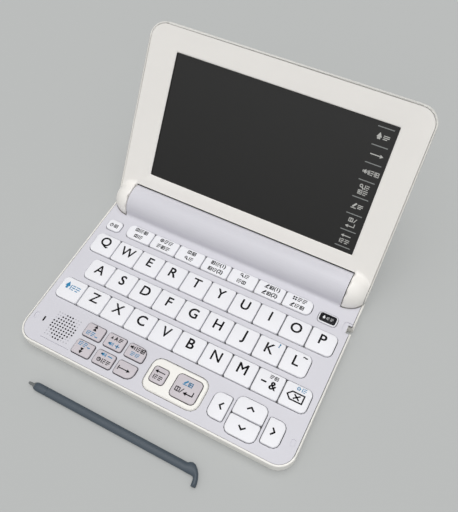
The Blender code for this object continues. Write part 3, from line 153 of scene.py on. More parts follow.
# %% Plastic material
GRAIN_SCALE = 3500.0
GRAIN_DEPTH = 0.02 * MM
ROUGHNESS_SPREAD = 0.05
COAT_ROUGHNESS = 0.12


def plastic(name, colour, roughness, grain=0.25, cloud=0.02, flecks=None, coat=0.0, shine=0.5):
    """Moulded plastic, or a print on it. Colours are picture values from 0 to 255."""
    material = bpy.data.materials.new(name)
    material.use_nodes = True
    tree = material.node_tree
    shader = tree.nodes["Principled BSDF"]
    where = add_node(tree, "ShaderNodeTexCoord").outputs["Object"]
    base = cloudy_colour(tree, where, colour, cloud)
    if flecks:
        base = flecked_colour(tree, where, base, flecks)
    tree.links.new(base, shader.inputs["Base Color"])

    fine = add_node(tree, "ShaderNodeTexNoise", {"Scale": GRAIN_SCALE, "Detail": 2.0})
    tree.links.new(where, fine.inputs["Vector"])
    lowest = max(0.0, roughness - ROUGHNESS_SPREAD)
    highest = min(1.0, roughness + ROUGHNESS_SPREAD)
    rough = add_node(tree, "ShaderNodeMapRange", {"To Min": lowest, "To Max": highest})
    tree.links.new(fine.outputs["Fac"], rough.inputs["Value"])
    tree.links.new(rough.outputs["Result"], shader.inputs["Roughness"])
    bump = add_node(tree, "ShaderNodeBump", {"Strength": grain, "Distance": GRAIN_DEPTH})
    tree.links.new(fine.outputs["Fac"], bump.inputs["Height"])
    tree.links.new(bump.outputs["Normal"], shader.inputs["Normal"])

    shader.inputs["Specular IOR Level"].default_value = shine
    shader.inputs["Coat Weight"].default_value = coat
    shader.inputs["Coat Roughness"].default_value = COAT_ROUGHNESS
    return material


print("plastic grain is", round(GRAIN_DEPTH / MM, 3), "mm deep")

# %% [markdown]
# The colours were read from the photograph and then set a little lighter or darker until the
# render agreed with it. Each solid could get its own material, but the real object has only a few
# mouldings, so one finish serves every solid of the same slot. The dark touch panel is mixed the
# same way and is only smoother.

# %% Finishes of the solids
finishes = {
    "case_plastic": plastic("case_plastic", (249, 247, 241), 0.34, coat=0.2),
    "deck_plastic": plastic("deck_plastic", (218, 217, 224), 0.42, flecks=(229, 228, 235)),
    "bezel_plastic": plastic("bezel_plastic", (252, 249, 244), 0.40, coat=0.15),
    "key_plastic": plastic("key_plastic", (245, 245, 249), 0.42),
    "function_key_plastic": plastic("function_key_plastic", (209, 202, 207), 0.42),
    "home_key_plastic": plastic("home_key_plastic", (12, 13, 20), 0.35, grain=0.1, shine=0.15),
    "screen_glass": plastic("screen_glass", (30, 30, 29), 0.20, grain=0.05, cloud=0.05),
    "stylus_plastic": plastic("stylus_plastic", (70, 81, 91), 0.45, cloud=0.05),
    "board_laminate": plastic("board_laminate", (206, 207, 205), 0.45),
    "cell_jacket": plastic("cell_jacket", (60, 66, 78), 0.30),
}
slot_of = {entry["node"]: entry["material_slot"] for entry in frame["record"]["subparts"]}
for name, node in nodes.items():
    node.data.materials.clear()
    node.data.materials.append(finishes[slot_of[name]])
print("finishes:", sorted(finishes))

# %% [markdown]
# Inks, felt and rubber are mixed with the same helper. Each could have its own nodes, but only
# the numbers differ. The inks have no grain, the dark and the blue one have hardly any shine, and
# the felt has no shine at all. The black felt is also painted shade in the lid's slot and in the
# speaker's holes, the flank finish is painted shade on the grey keys, and the dimple colour is
# painted shade of the grille's shallow hollows.

# %% Inks, felt and rubber
dark_ink = plastic("dark_ink", (12, 11, 15), 0.6, grain=0.0, cloud=0.1, shine=0.1)
blue_ink = plastic("blue_ink", (52, 136, 182), 0.6, grain=0.0, cloud=0.05, shine=0.2)
white_ink = plastic("white_ink", (235, 236, 238), 0.5, grain=0.0, cloud=0.05)
screen_ink = plastic("screen_ink", (196, 196, 192), 0.5, grain=0.0, cloud=0.05)
rule_ink = plastic("rule_ink", (140, 143, 142), 0.5, grain=0.0, cloud=0.05)
dimple_shade = plastic("dimple_shade", (186, 185, 192), 0.6, grain=0.0, cloud=0.1)
# Painted shade: a darker finish for the flanks of the grey keys.
painted_flank_shade = plastic("painted_flank_shade", (150, 144, 150), 0.5)
nib_plastic = plastic("nib_plastic", (112, 115, 115), 0.5)
# Black felt, also used as painted shade in the slot and the speaker's holes.
black_felt_and_shade = plastic("black_felt_and_shade", (8, 8, 9), 0.9, grain=0.5, cloud=0.2, shine=0.0)
rubber = plastic("rubber", (92, 92, 94), 0.75, grain=0.4, cloud=0.08)
print("materials in all:", len(bpy.data.materials))

# %% [markdown]
# ## Modelling helpers
# The key caps and the printing are made as they would be by hand: a primitive is added at its
# size and place, edges are picked and bevelled in edit mode, and a finished piece keeps its place
# in its mesh, with its object at the origin. Each piece is hung on the body that it moves with.

# %% Finish a piece
def settle(piece, name, material, body):
    """Name a finished piece, put its place into its mesh and hang it on its body."""
    piece.data.transform(piece.matrix_world)
    piece.matrix_world = Matrix.Identity(4)
    piece.name = name
    piece.data.name = name
    piece.data.materials.clear()
    piece.data.materials.append(material)
    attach(piece, body)


# %% [markdown]
# Moulded parts are mostly blocks with rounded edges. A Bevel modifier could round them, but it
# treats all edges alike. Here a test of the edge's two ends picks the edges, so one block can
# have large and small corners.

# %% Blocks and rounded edges
TOLERANCE = 0.01 * MM
SMOOTH_EDGE_DEG = 35.0


def add_block(low, high):
    """Box from its two corners, with its size in its mesh."""
    bpy.ops.object.select_all(action="DESELECT")
    middle = [(a + b) / 2 for a, b in zip(low, high)]
    size = [b - a for a, b in zip(low, high)]
    bpy.ops.mesh.primitive_cube_add(size=1.0, location=middle, scale=size)
    bpy.ops.object.transform_apply(location=True, rotation=False, scale=True)
    return bpy.context.object


def bevel_where(piece, wanted, width, segments):
    """Bevel the edges whose two ends pass a test."""
    bpy.ops.object.mode_set(mode="EDIT")
    bpy.ops.mesh.select_mode(type="EDGE")
    bpy.ops.mesh.select_all(action="DESELECT")
    bpy.ops.object.mode_set(mode="OBJECT")
    points = piece.data.vertices
    found = 0
    for edge in piece.data.edges:
        edge.select = wanted(points[edge.vertices[0]].co, points[edge.vertices[1]].co)
        found += edge.select
    bpy.ops.object.mode_set(mode="EDIT")
    if found:
        bpy.ops.mesh.bevel(offset=width, segments=segments, affect="EDGES")
    bpy.ops.object.mode_set(mode="OBJECT")


def is_upright(a, b):
    """Whether an edge stands straight up."""
    return (a.xy - b.xy).length < TOLERANCE


def round_top(block, top, width, segments):
    """Round the edge of the top face and shade the block."""
    bevel_where(block, lambda a, b: min(a.z, b.z) > top - TOLERANCE, width, segments)
    bpy.ops.object.shade_smooth_by_angle(angle=math.radians(SMOOTH_EDGE_DEG))


print("edges are picked to", round(TOLERANCE / MM, 3), "mm")

# %% [markdown]
# ## Smooth shells
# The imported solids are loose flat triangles. That is right for the flat parts, but the barrel,
# the ears and the rounded rim of a moulded case are smooth. Finer solids would show it too, at
# the cost of many more triangles. So each visible shell is copied, its triangles are merged into
# one skin, and only the shallow angles are shaded smooth. Weighted normals keep the large flat
# faces flat, and the form stays exactly the same. A copy can have a second finish on some of its
# faces.

# %% Smooth copy of a solid
body_members = frame["record"]["behaviour"]["bodies"]
body_of = {name: body for body, members in body_members.items() for name in members}
SMOOTH_SHELL_DEG = 33.0
MERGE_REACH = 0.001 * MM


def smooth_shell(name, second=None, wanted=None):
    """Merged and smoothly shaded copy, with a second finish where a test of a face passes."""
    bpy.ops.object.select_all(action="DESELECT")
    shell = bpy.data.objects.new("shell_" + name, nodes[name].data.copy())
    bpy.context.collection.objects.link(shell)
    bpy.context.view_layer.objects.active = shell
    shell.select_set(True)
    bpy.ops.object.mode_set(mode="EDIT")
    bpy.ops.mesh.select_all(action="SELECT")
    bpy.ops.mesh.remove_doubles(threshold=MERGE_REACH)
    bpy.ops.object.mode_set(mode="OBJECT")
    bpy.ops.object.shade_smooth_by_angle(angle=math.radians(SMOOTH_SHELL_DEG))
    weights = shell.modifiers.new("weights", "WEIGHTED_NORMAL")
    weights.keep_sharp = True
    bpy.ops.object.modifier_apply(modifier=weights.name)
    settle(shell, "shell_" + name, finishes[slot_of[name]], body_of[name])
    changed = 0
    if second:
        shell.data.materials.append(second)
        for face in shell.data.polygons:
            if wanted(face.center):
                face.material_index = 1
                changed += 1
    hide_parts(name)
    print("smooth", name, "faces", len(shell.data.polygons), "second finish on", changed)


# %% [markdown]
# The lid's two shells leave a slot in which the barrel turns, between the two ears. On the real
# object one looks into darkness there, so the faces that line the slot get the black finish, as
# painted shade. They are found by their distance from the hinge.

# %% Lid shells
hinge = next(joint for joint in frame["joints"] if joint["name"] == "lid_hinge")
HINGE_PLACE = Vector(hinge["pos_m"])
SLOT_REACH = 10.4 * MM
EAR_ROOM = 10.9 * MM
slot_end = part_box("lid_bezel")[1].x - EAR_ROOM


def in_slot(point):
    """Whether a face lines the slot in which the barrel turns."""
    away = math.hypot(point.y - HINGE_PLACE.y, point.z - HINGE_PLACE.z)
    return away < SLOT_REACH and abs(point.x) < slot_end


# Painted shade: the faces that line the slot take the black finish.
smooth_shell("lid_bezel", black_felt_and_shade, in_slot)
smooth_shell("lid_back_cover", black_felt_and_shade, in_slot)

# %% [markdown]
# Four round feet are moulded into the underside of the case, and their soles are rubber. The
# soles could be discs of their own, but a second finish on the same faces keeps the case one
# closed skin. The battery cover has one finish. The stylus ends in a paler nib.

# %% Case, battery cover and stylus shells
FOOT_PLACES = [(x * MM, y * MM) for x in (-60.0, 60.0) for y in (-42.0, 12.0)]
FOOT_RADIUS = 4.0 * MM
SOLE_HEIGHT = 0.1 * MM
NIB_LENGTH = 4.0 * MM
nib_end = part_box("stylus")[0].x + NIB_LENGTH


def on_sole(point):
    """Whether a face is the sole of a foot."""
    return point.z < SOLE_HEIGHT and any(
        math.hypot(point.x - x, point.y - y) < FOOT_RADIUS for x, y in FOOT_PLACES)


smooth_shell("bottom_case", rubber, on_sole)
smooth_shell("battery_cover")
smooth_shell("stylus", nib_plastic, lambda point: point.x < nib_end)

# %% [markdown]
# A black strip in the slot, on the lid's side, is painted shade. Its edge stops just short of the
# barrel, and from the front it is the thin black line under the bezel. It is drawn as a block in
# the plane of the lid, with y measured from the hinge, and then turned to the angle of the open
# lid.

# %% Painted shade strip in the slot
LID_SLOPE_DEG = 180.0 + hinge["range_deg"][0]
SHADE_NEAR, SHADE_FAR = 9.4 * MM, 10.2 * MM
SHADE_LOW, SHADE_HIGH = -0.4 * MM, 0.35 * MM
on_lid = Matrix.Translation(HINGE_PLACE) @ Matrix.Rotation(math.radians(LID_SLOPE_DEG), 4, "X")
# Painted shade: a black block that darkens the slot under the bezel.
painted_shade = add_block((-slot_end, SHADE_NEAR, SHADE_LOW), (slot_end, SHADE_FAR, SHADE_HIGH))
painted_shade.data.transform(on_lid)
settle(painted_shade, "slot_painted_shade", black_felt_and_shade, "lid")
print("felt strip", round(2 * slot_end / MM, 1), "mm long")

# %% [markdown]
# ## Key caps
# A moulded cap is a block with rounded upright edges and a softly rounded top edge, which catches
# the light and makes each key readable. The outer keys of a row have one or two large corners
# that follow the deck's opening. The solids already have the outlines, so each cap takes its size
# from the solid that it stands for, and only the rounding is added. The table names the sides or
# ends of a key whose corners are large, and their radius in millimetres.

# %% Corners of the keys
BIG_CORNERS = {
    "key_q": ("left", 2.8), "key_p": ("right", 2.8), "key_a": ("left", 2.8),
    "key_l": ("right", 2.8), "shift_key": ("left", 2.8), "delete_key": ("right", 2.8),
    "dictionary_key_1": ("left", 2.9), "dictionary_key_7": ("right", 2.9),
    "arrow_left_key": ("left", 3.2), "arrow_right_key": ("right", 3.2),
    "arrow_up_key": ("rear", 3.2), "arrow_down_key": ("front", 3.2),
    "voice_key": ("rear right", 3.6), "jump_key": ("front right", 3.6),
    "power_key": ("left right", 2.0), "back_key": ("left right", 1.4),
    "enter_key": ("left right", 2.0),
}
SMALL_CORNER = 1.0
CAP_DEPTH = 0.6 * MM


def cap_box(name):
    """Corners of a key's cap, above the flange that stays under the deck."""
    low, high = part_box(name)
    upper = [v.co for v in nodes[name].data.vertices if v.co.z > high.z - CAP_DEPTH]
    lowest = [min(p[axis] for p in upper) for axis in range(2)]
    highest = [max(p[axis] for p in upper) for axis in range(2)]
    return Vector((*lowest, low.z)), Vector((*highest, high.z))


def is_big(corner, where):
    """Whether a corner, as (x side, y side), is one of the large ones that the words name."""
    words = where.split()
    sides = [w for w in words if w in ("left", "right")]
    ends = [w for w in words if w in ("front", "rear")]
    return (not sides or corner[0] in sides) and (not ends or corner[1] in ends)


print("keys with large corners:", len(BIG_CORNERS))

# %% [markdown]
# The large corners are rounded first. The upright edges that still stand at a sharp corner of the
# block then get the small radius, and the top edge comes last, because its bevel has to run round
# the finished corners. The flanks of the grey function keys get a darker finish, which is painted
# shade on the sides of the caps; their tops keep the key colour.

# %% Key caps
BIG_CORNER_STEPS, SMALL_CORNER_STEPS = 8, 5
TOP_EDGE, TOP_EDGE_STEPS = 0.45, 4
FLANK_RISE = 0.35


def key_cap(name):
    """Cap of one key, which replaces its solid."""
    low, high = cap_box(name)
    middle = (low + high) / 2
    cap = add_block(low, high)
    where, radius = BIG_CORNERS.get(name, ("none", SMALL_CORNER))

    def at_big_corner(a, b):
        corner = ("left" if a.x < middle.x else "right", "front" if a.y < middle.y else "rear")
        return is_upright(a, b) and where != "none" and is_big(corner, where)

    def at_sharp_corner(a, b):
        away = min(math.hypot(a.x - x, a.y - y) for x in (low.x, high.x) for y in (low.y, high.y))
        return is_upright(a, b) and away < TOLERANCE

    bevel_where(cap, at_big_corner, radius * MM, BIG_CORNER_STEPS)
    bevel_where(cap, at_sharp_corner, SMALL_CORNER * MM, SMALL_CORNER_STEPS)
    round_top(cap, high.z, TOP_EDGE * MM, TOP_EDGE_STEPS)
    settle(cap, "cap_" + name, finishes[slot_of[name]], name)
    # Painted shade: the side faces of the grey keys take the darker flank finish.
    if slot_of[name] == "function_key_plastic":
        cap.data.materials.append(painted_flank_shade)
        for face in cap.data.polygons:
            if face.normal.z < FLANK_RISE:
                face.material_index = 1
    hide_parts(name)


not_keys = ("stylus", "battery_cover")
key_names = sorted(name for name in nodes if name in frame["bodies"] and name not in not_keys)
for name in key_names:
    if name != "home_key":
        key_cap(name)
print("key caps:", len(key_names) - 1)

# %% [markdown]
# The home key is a black cap in a light ring that moves with it. The ring could be a tube round
# the cap, but its inside never shows. So it is a pill-shaped block with rounded edges, and the
# black cap is a second, smaller pill that stands on it.

# %% Home key
RING_WIDTH = 0.55 * MM
RING_STEP = 0.35 * MM
RING_CORNER, CAP_CORNER = 1.7 * MM, 1.1 * MM
PILL_EDGE, PILL_EDGE_STEPS = 0.3 * MM, 3


def pill(low, high, corner):
    """Block with four round corners and a softly rounded top edge."""
    block = add_block(low, high)
    bevel_where(block, is_upright, corner, BIG_CORNER_STEPS)
    round_top(block, high.z, PILL_EDGE, PILL_EDGE_STEPS)
    return block


home_low, home_high = cap_box("home_key")
inset = Vector((RING_WIDTH, RING_WIDTH, 0))
step = Vector((0, 0, RING_STEP))
home_ring = pill(home_low, home_high - step, RING_CORNER)
settle(home_ring, "ring_home_key", finishes["key_plastic"], "home_key")
home_cap = pill(home_low + inset, home_high - inset, CAP_CORNER)
settle(home_cap, "cap_home_key", finishes["home_key_plastic"], "home_key")
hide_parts("home_key")
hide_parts("home_key")
print("home key: ring and cap")

# %% [markdown]
# ## Printing
# The legends are flat prints. A texture could carry them, but its edges would blur and it would
# need an image. So each is a thin figure a fiftieth of a millimetre above its key. It is drawn
# round the origin and then moved to its place. The first figures are bars, and strokes made of
# bars. Places and sizes are given in millimetres, and places are measured from the part's origin.

# %% Bars and strokes
STROKE_OVERLAP = 0.7
drawn = []


def mark(piece, x, y, turn_deg=0.0):
    """Put a figure in its place and keep it for the print that is being drawn."""
    piece.location = (x * MM, y * MM, 0)
    piece.rotation_euler = (0, 0, math.radians(turn_deg))
    bpy.ops.object.transform_apply(location=True, rotation=True, scale=True)
    drawn.append(piece)


def bar(x, y, length, width, turn_deg=0.0):
    bpy.ops.object.select_all(action="DESELECT")
    bpy.ops.mesh.primitive_plane_add(size=1.0, location=(0, 0, 0))
    piece = bpy.context.object
    piece.scale = (length * MM, width * MM, 1)
    mark(piece, x, y, turn_deg)


def stroke(points, width):
    """Bars from point to point, lengthened a little so that they meet."""
    for (x0, y0), (x1, y1) in zip(points, points[1:]):
        length = math.hypot(x1 - x0, y1 - y0) + width * STROKE_OVERLAP
        turn_deg = math.degrees(math.atan2(y1 - y0, x1 - x0))
        bar((x0 + x1) / 2, (y0 + y1) / 2, length, width, turn_deg)


print("drawing with bars and strokes")

# %% [markdown]
# Dots, arrow heads and rings all start as a circle. With three corners a filled circle is a
# triangle. A ring is an open circle whose edge is extruded and drawn inwards, and it is turned
# over if its faces came out facing down.

# %% Discs, triangles and rings
POINTING_DEG = {"up": 0.0, "left": 90.0, "down": 180.0, "right": -90.0}
RING_CORNERS = 24


def disc(x, y, radius, corners=20, turn_deg=0.0):
    bpy.ops.object.select_all(action="DESELECT")
    bpy.ops.mesh.primitive_circle_add(
        vertices=corners, radius=radius * MM, fill_type="NGON", location=(0, 0, 0))
    mark(bpy.context.object, x, y, turn_deg)


def triangle(x, y, radius, pointing):
    disc(x, y, radius, 3, POINTING_DEG[pointing])


def ring(x, y, radius, width):
    bpy.ops.object.select_all(action="DESELECT")
    bpy.ops.mesh.primitive_circle_add(
        vertices=RING_CORNERS, radius=radius * MM, location=(0, 0, 0))
    piece = bpy.context.object
    bpy.ops.object.mode_set(mode="EDIT")
    bpy.ops.mesh.select_all(action="SELECT")
    bpy.ops.mesh.extrude_edges_move()
    share = (radius - width) / radius
    bpy.ops.transform.resize(value=(share, share, 1), center_override=(0, 0, 0))
    bpy.ops.object.mode_set(mode="OBJECT")
    if piece.data.polygons[0].normal.z < 0:
        bpy.ops.object.mode_set(mode="EDIT")
        bpy.ops.mesh.select_all(action="SELECT")
        bpy.ops.mesh.flip_normals()
        bpy.ops.object.mode_set(mode="OBJECT")
    mark(piece, x, y)


print("drawing with discs, triangles and rings")

# %% [markdown]
# Letters come from Blender's own typeface, which is thinner than the print on the keys.
# Offsetting the outline would make it bolder, but that tears sharp corners. Instead a thin tube
# follows every outline, which makes the strokes wider by its width, and it is flattened until it
# is part of the print. A text is made a mesh before it is moved.

# %% Letters as figures
CAPITAL_SHARE = 0.73
TUBE_FLATTENING = 0.04


def write(text, x, y, height, weight=0.32):
    """Generic lettering, centred, with its capital height and the width of its tube."""
    bpy.ops.object.select_all(action="DESELECT")
    bpy.ops.object.text_add(location=(0, 0, 0))
    letters = bpy.context.object
    letters.data.body = text
    letters.data.size = (height - weight) * MM / CAPITAL_SHARE
    letters.data.resolution_u = 4
    bpy.ops.object.convert(target="CURVE")
    letters = bpy.context.object
    bpy.ops.object.duplicate()
    edge = bpy.context.object
    edge.data.dimensions = "3D"
    edge.data.fill_mode = "FULL"
    edge.data.bevel_depth = weight / 2 * MM
    edge.data.bevel_resolution = 0
    bpy.ops.object.convert(target="MESH")
    edge = bpy.context.object
    bpy.ops.object.mode_set(mode="EDIT")
    bpy.ops.mesh.select_all(action="SELECT")
    bpy.ops.mesh.normals_make_consistent(inside=False)
    bpy.ops.object.mode_set(mode="OBJECT")
    edge.data.transform(Matrix.Scale(TUBE_FLATTENING, 4, (0, 0, 1)))
    bpy.ops.object.select_all(action="DESELECT")
    letters.select_set(True)
    bpy.context.view_layer.objects.active = letters
    bpy.ops.object.convert(target="MESH")
    edge.select_set(True)
    bpy.ops.object.join()
    piece = bpy.context.object
    low = Vector([min(v.co[axis] for v in piece.data.vertices) for axis in range(3)])
    high = Vector([max(v.co[axis] for v in piece.data.vertices) for axis in range(3)])
    piece.data.transform(Matrix.Translation(-(low + high) / 2))
    mark(piece, x, y)


print("a capital is", CAPITAL_SHARE, "of the size of its text")

# %% [markdown]
# All figures of one colour on one key become one piece, so a key carries one or two prints and
# not a dozen. The print is moved just above the key's top, and rides on the key.

# %% Prints on their surfaces
PRINT_LIFT = 0.02 * MM


def finish_print(name, ink, body, place):
    """Join what was drawn into one print and move it onto its surface."""
    bpy.ops.object.select_all(action="DESELECT")
    for piece in drawn:
        piece.select_set(True)
    bpy.context.view_layer.objects.active = drawn[0]
    if len(drawn) > 1:
        bpy.ops.object.join()
    piece = bpy.context.object
    piece.data.transform(place)
    drawn.clear()
    settle(piece, name, ink, body)


def print_key(key, ink, kind="print"):
    """Finish what was drawn as a print on top of a key."""
    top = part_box(key)[1].z
    finish_print(kind + "_" + key, ink, key, Matrix.Translation((0, 0, top + PRINT_LIFT)))


print("prints lie", round(PRINT_LIFT / MM, 3), "mm above their keys")

# %% [markdown]
# ## Pictograms
# Small print is too fine to be read from this distance. It could be a grey smear, but then it
# would look wrong from close by. So it is built from plain signs that anyone may use. The first
# are blocks of lines and frames. Each takes its middle, its size and the width of its strokes.

# %% Signs made of lines and frames
GLYPH = 2.2
THIN = 0.42


def lines_sign(x, y, width=GLYPH, height=GLYPH, weight=THIN):
    """Three stacked bars, the last one shorter, for a block of small print."""
    for row, share in ((1, 1.0), (0, 1.0), (-1, 0.7)):
        left_shift = width * (1 - share) / 2
        bar(x - left_shift, y + row * (height - weight) / 2, width * share, weight)


def list_sign(x, y, size=GLYPH, weight=THIN):
    """Upright bar with three lines beside it."""
    bar(x - size / 2 + weight / 2, y, weight, size)
    lines_sign(x + weight * 0.9, y, size - weight * 1.8, size, weight)


def frame_sign(x, y, width, height, weight=THIN):
    """Open rectangle."""
    right, top = (width - weight) / 2, (height - weight) / 2
    low_left, low_right = (x - right, y - top), (x + right, y - top)
    high_right, high_left = (x + right, y + top), (x - right, y + top)
    stroke([low_left, low_right, high_right, high_left, low_left], weight)


def book(x, y, size=GLYPH, weight=THIN):
    """Open book: a frame with a spine."""
    frame_sign(x, y, size, size * 0.9, weight)
    bar(x, y, weight, size)


def table_sign(x, y, size=GLYPH, weight=THIN):
    """Frame divided into four cells."""
    frame_sign(x, y, size, size, weight)
    bar(x, y, size, weight)
    bar(x - size * 0.12, y, weight, size)


print("a small sign is", GLYPH, "mm wide, with strokes of", THIN, "mm")

# %% [markdown]
# The other signs are pictures of things: a globe, a magnifier, a pencil, a loudspeaker, a house,
# a clock and a gear. Each is two or three of the figures above, placed by shares of the sign's
# size, so that a sign keeps its form when it is drawn larger.

# %% Signs that show things
def globe(x, y, radius=GLYPH / 2, weight=THIN):
    ring(x, y, radius, weight)
    bar(x, y, 2 * radius, weight * 0.8)
    bar(x, y, weight * 0.8, 2 * radius)


def magnifier(x, y, size=GLYPH, weight=THIN):
    ring(x - size * 0.12, y + size * 0.14, size * 0.36, weight)
    bar(x + size * 0.3, y - size * 0.3, size * 0.5, weight * 1.5, -45)


def pencil(x, y, size=GLYPH, weight=THIN):
    bar(x + size * 0.08, y + size * 0.12, size, weight * 2, 50)
    bar(x, y - size * 0.46, size, weight)


def squares(x, y, size=GLYPH):
    for dx in (-1, 1):
        for dy in (-1, 1):
            bar(x + dx * size * 0.27, y + dy * size * 0.27, size * 0.4, size * 0.4)


def speaker_sign(x, y, size=GLYPH, weight=THIN):
    bar(x - size * 0.38, y, size * 0.3, size * 0.42)
    triangle(x - size * 0.12, y, size * 0.5, "left")
    bar(x + size * 0.3, y, weight, size * 0.5)
    bar(x + size * 0.3 + weight * 1.8, y, weight, size * 0.85)


def house(x, y, size=GLYPH):
    triangle(x, y + size * 0.17, size * 0.6, "up")
    bar(x, y - size * 0.3, size * 0.62, size * 0.44)


def clock(x, y, radius=GLYPH / 2, weight=THIN):
    ring(x, y, radius, weight)
    stroke([(x, y + radius * 0.55), (x, y), (x + radius * 0.45, y)], weight * 0.9)


def gear(x, y, radius=GLYPH / 2, weight=THIN):
    ring(x, y, radius * 0.72, weight)
    away = radius * 0.85
    for turn_deg in range(0, 360, 60):
        turn = math.radians(turn_deg)
        bar(x + away * math.cos(turn), y + away * math.sin(turn), radius * 0.3, weight, turn_deg)


print("signs: globe, magnifier, pencil, squares, loudspeaker, house, clock, gear")

# %% [markdown]
# Two long arrows need a length of their own: the bent arrow of an enter key, and a straight arrow
# to the left or the right. Scaling a finished arrow would stretch its head too, so the shaft is
# drawn at its length and the head is added at its end.

# %% Arrows
def return_arrow(x, y, width, height, weight=0.5):
    """Line that comes down and turns to the left, with an arrow head."""
    left, right = x - width / 2, x + width / 2
    low = y - height * 0.2
    inner = right - weight / 2
    stroke([(left + 0.9, low), (inner, low), (inner, y + height / 2)], weight)
    triangle(left + height * 0.32, low, height * 0.42, "left")


def arrow_line(x, y, length, pointing, weight=0.5):
    """Straight arrow to the left or the right."""
    side = 1 if pointing == "right" else -1
    bar(x - side * weight, y, length - 2 * weight, weight)
    triangle(x + side * (length / 2 - weight * 1.4), y, weight * 2.2, pointing)


print("arrows: bent and straight")

# %% [markdown]
# ## Legends
# The letters follow the three rows of the keyboard. Their centres sit a little above the middle
# of the key, and the capital height is almost 6 mm on a key 12 mm tall. Each letter takes its
# place across from the cap below it. The dash key also has an ampersand, and two letter keys have
# a second, small sign in a corner.

# %% Letters
LETTER_ROWS = (("QWERTYUIOP", 12.2), ("ASDFGHJKL", -3.6), ("ZXCVBNM", -18.7))
LETTER_HEIGHT = 5.8
for letters, y in LETTER_ROWS:
    for letter in letters:
        name = "key_" + letter.lower()
        low, high = cap_box(name)
        write(letter, (low.x + high.x) / 2 / MM, y, LETTER_HEIGHT)
        print_key(name, dark_ink)
bar(46.3, -19.6, 2.7, 0.8)
write("&", 51.2, -20.1, 4.4, 0.34)
lines_sign(49.1, -16.2, 1.9, 1.8, 0.36)
table_sign(51.4, -16.2, 1.9, 0.3)
print_key("dash_key", dark_ink)
write("?", 45.7, -0.3, 2.5, 0.22)
print_key("key_k", blue_ink, "print_blue")
write("~", 59.2, -0.5, 3.2, 0.3)
print_key("key_l", dark_ink, "print_small")
print("letters printed:", sum(len(letters) for letters, y in LETTER_ROWS))

# %% [markdown]
# The shift key has a blue arrow, and the delete key a pointed box with a cross. Power is a ring
# with a bar. The home key is black, so its three small signs are white. Each sign could be one
# drawn outline, but at this size bars and triangles that overlap look the same.

# %% Shift, delete, power and home
triangle(-65.6, -18.0, 1.75, "up")
bar(-65.6, -19.6, 1.3, 1.5)
list_sign(-62.4, -19.0, 2.8, 0.5)
lines_sign(-59.4, -19.0, 2.4, 2.8, 0.5)
print_key("shift_key", blue_ink)
pointed_box = [(58.5, -20.1), (60.4, -18.1), (66.4, -18.1), (66.4, -22.1), (60.4, -22.1)]
stroke(pointed_box + pointed_box[:1], 0.7)
stroke([(61.9, -19.1), (64.5, -21.1)], 0.7)
stroke([(61.9, -21.1), (64.5, -19.1)], 0.7)
print_key("delete_key", dark_ink)
gear(62.5, -15.8, 1.05, 0.34)
list_sign(65.2, -15.8, 2.1, 0.36)
print_key("delete_key", blue_ink, "print_blue")
ring(-66.5, 23.6, 1.05, 0.36)
bar(-66.5, 24.2, 0.4, 1.5)
table_sign(-63.8, 23.7, 2.2, 0.36)
print_key("power_key", dark_ink)
house(58.6, 23.8, 1.5)
list_sign(60.7, 23.8, 1.4, 0.16)
lines_sign(62.7, 23.8, 1.5, 1.4, 0.16)
print_key("home_key", white_ink)
print("shift, delete, power and home printed")

# %% [markdown]
# Each dictionary key carries two lines of small print. The lines are built from little signs, one
# after another: a book, a globe, a magnifier, a list, a table and plain numbers. Each key could
# be written out by itself, but only the order of the signs differs, so they stand in one list and
# nested loops draw them all.

# %% Dictionary keys
STRIP_ROWS = (27.1, 23.3)
SIGN_STEP = 2.65
NUMBER_SHIFT = 0.3
STRIP_SIGNS = (
    ((book, list_sign, table_sign), (book, list_sign)),
    ((globe, lines_sign, list_sign), (lines_sign, table_sign, lines_sign)),
    ((book, table_sign), (magnifier, list_sign)),
    ((table_sign, list_sign, "(1)"), (table_sign, list_sign, "(2)")),
    ((magnifier, list_sign), (list_sign, book)),
    ((pencil, table_sign, "(1)"), (pencil, table_sign, "(2)")),
    ((squares, lines_sign, lines_sign), (pencil, list_sign, table_sign)),
)
for index, rows in enumerate(STRIP_SIGNS):
    name = "dictionary_key_" + str(index + 1)
    low, high = cap_box(name)
    middle_x = (low.x + high.x) / 2 / MM
    for y, signs in zip(STRIP_ROWS, rows):
        for place, sign in enumerate(signs):
            x = middle_x + (place - (len(signs) - 1) / 2) * SIGN_STEP
            if callable(sign):
                sign(x, y)
            else:
                write(sign, x + NUMBER_SHIFT, y, 2.4, 0.22)
    print_key(name, dark_ink)
print("dictionary keys printed:", len(STRIP_SIGNS))

# %% [markdown]
# The grey keys beside the speaker turn pages and change the volume. The page keys have two arrow
# heads, and the volume keys a loudspeaker with a plus or a minus. What is blue is the second use
# of a key, and it is a print of its own because it has its own ink.

# %% Page and volume keys
PAGE_KEYS = (("page_up_key", "up", -32.9, -36.1), ("page_down_key", "down", -45.6, -42.5))
VOLUME_KEYS = (("volume_up_key", -36.2), ("volume_down_key", -42.4))
for name, pointing, dark_y, blue_y in PAGE_KEYS:
    for rise in (0.75, -0.75):
        triangle(-38.8, dark_y + rise, 1.15, pointing)
    print_key(name, dark_ink)
    list_sign(-40.9, blue_y, 2.1, 0.38)
    lines_sign(-38.4, blue_y, 2.0, 2.1, 0.38)
    bar(-36.2, blue_y - 0.7, 1.6, 0.5)
    print_key(name, blue_ink, "print_blue")
for name, blue_y in VOLUME_KEYS:
    speaker_sign(-27.9, blue_y, 2.3, 0.36)
    bar(-24.2, blue_y, 2.4, 0.5)
    if name == "volume_up_key":
        bar(-24.2, blue_y, 0.5, 2.4)
    print_key(name, blue_ink, "print_blue")
write("A", -28.8, -33.1, 1.6, 0.34)
write("A", -26.6, -32.9, 2.2, 0.34)
lines_sign(-24.2, -32.9, 2.0, 2.0)
print_key("volume_up_key", dark_ink)
clock(-28.6, -45.5)
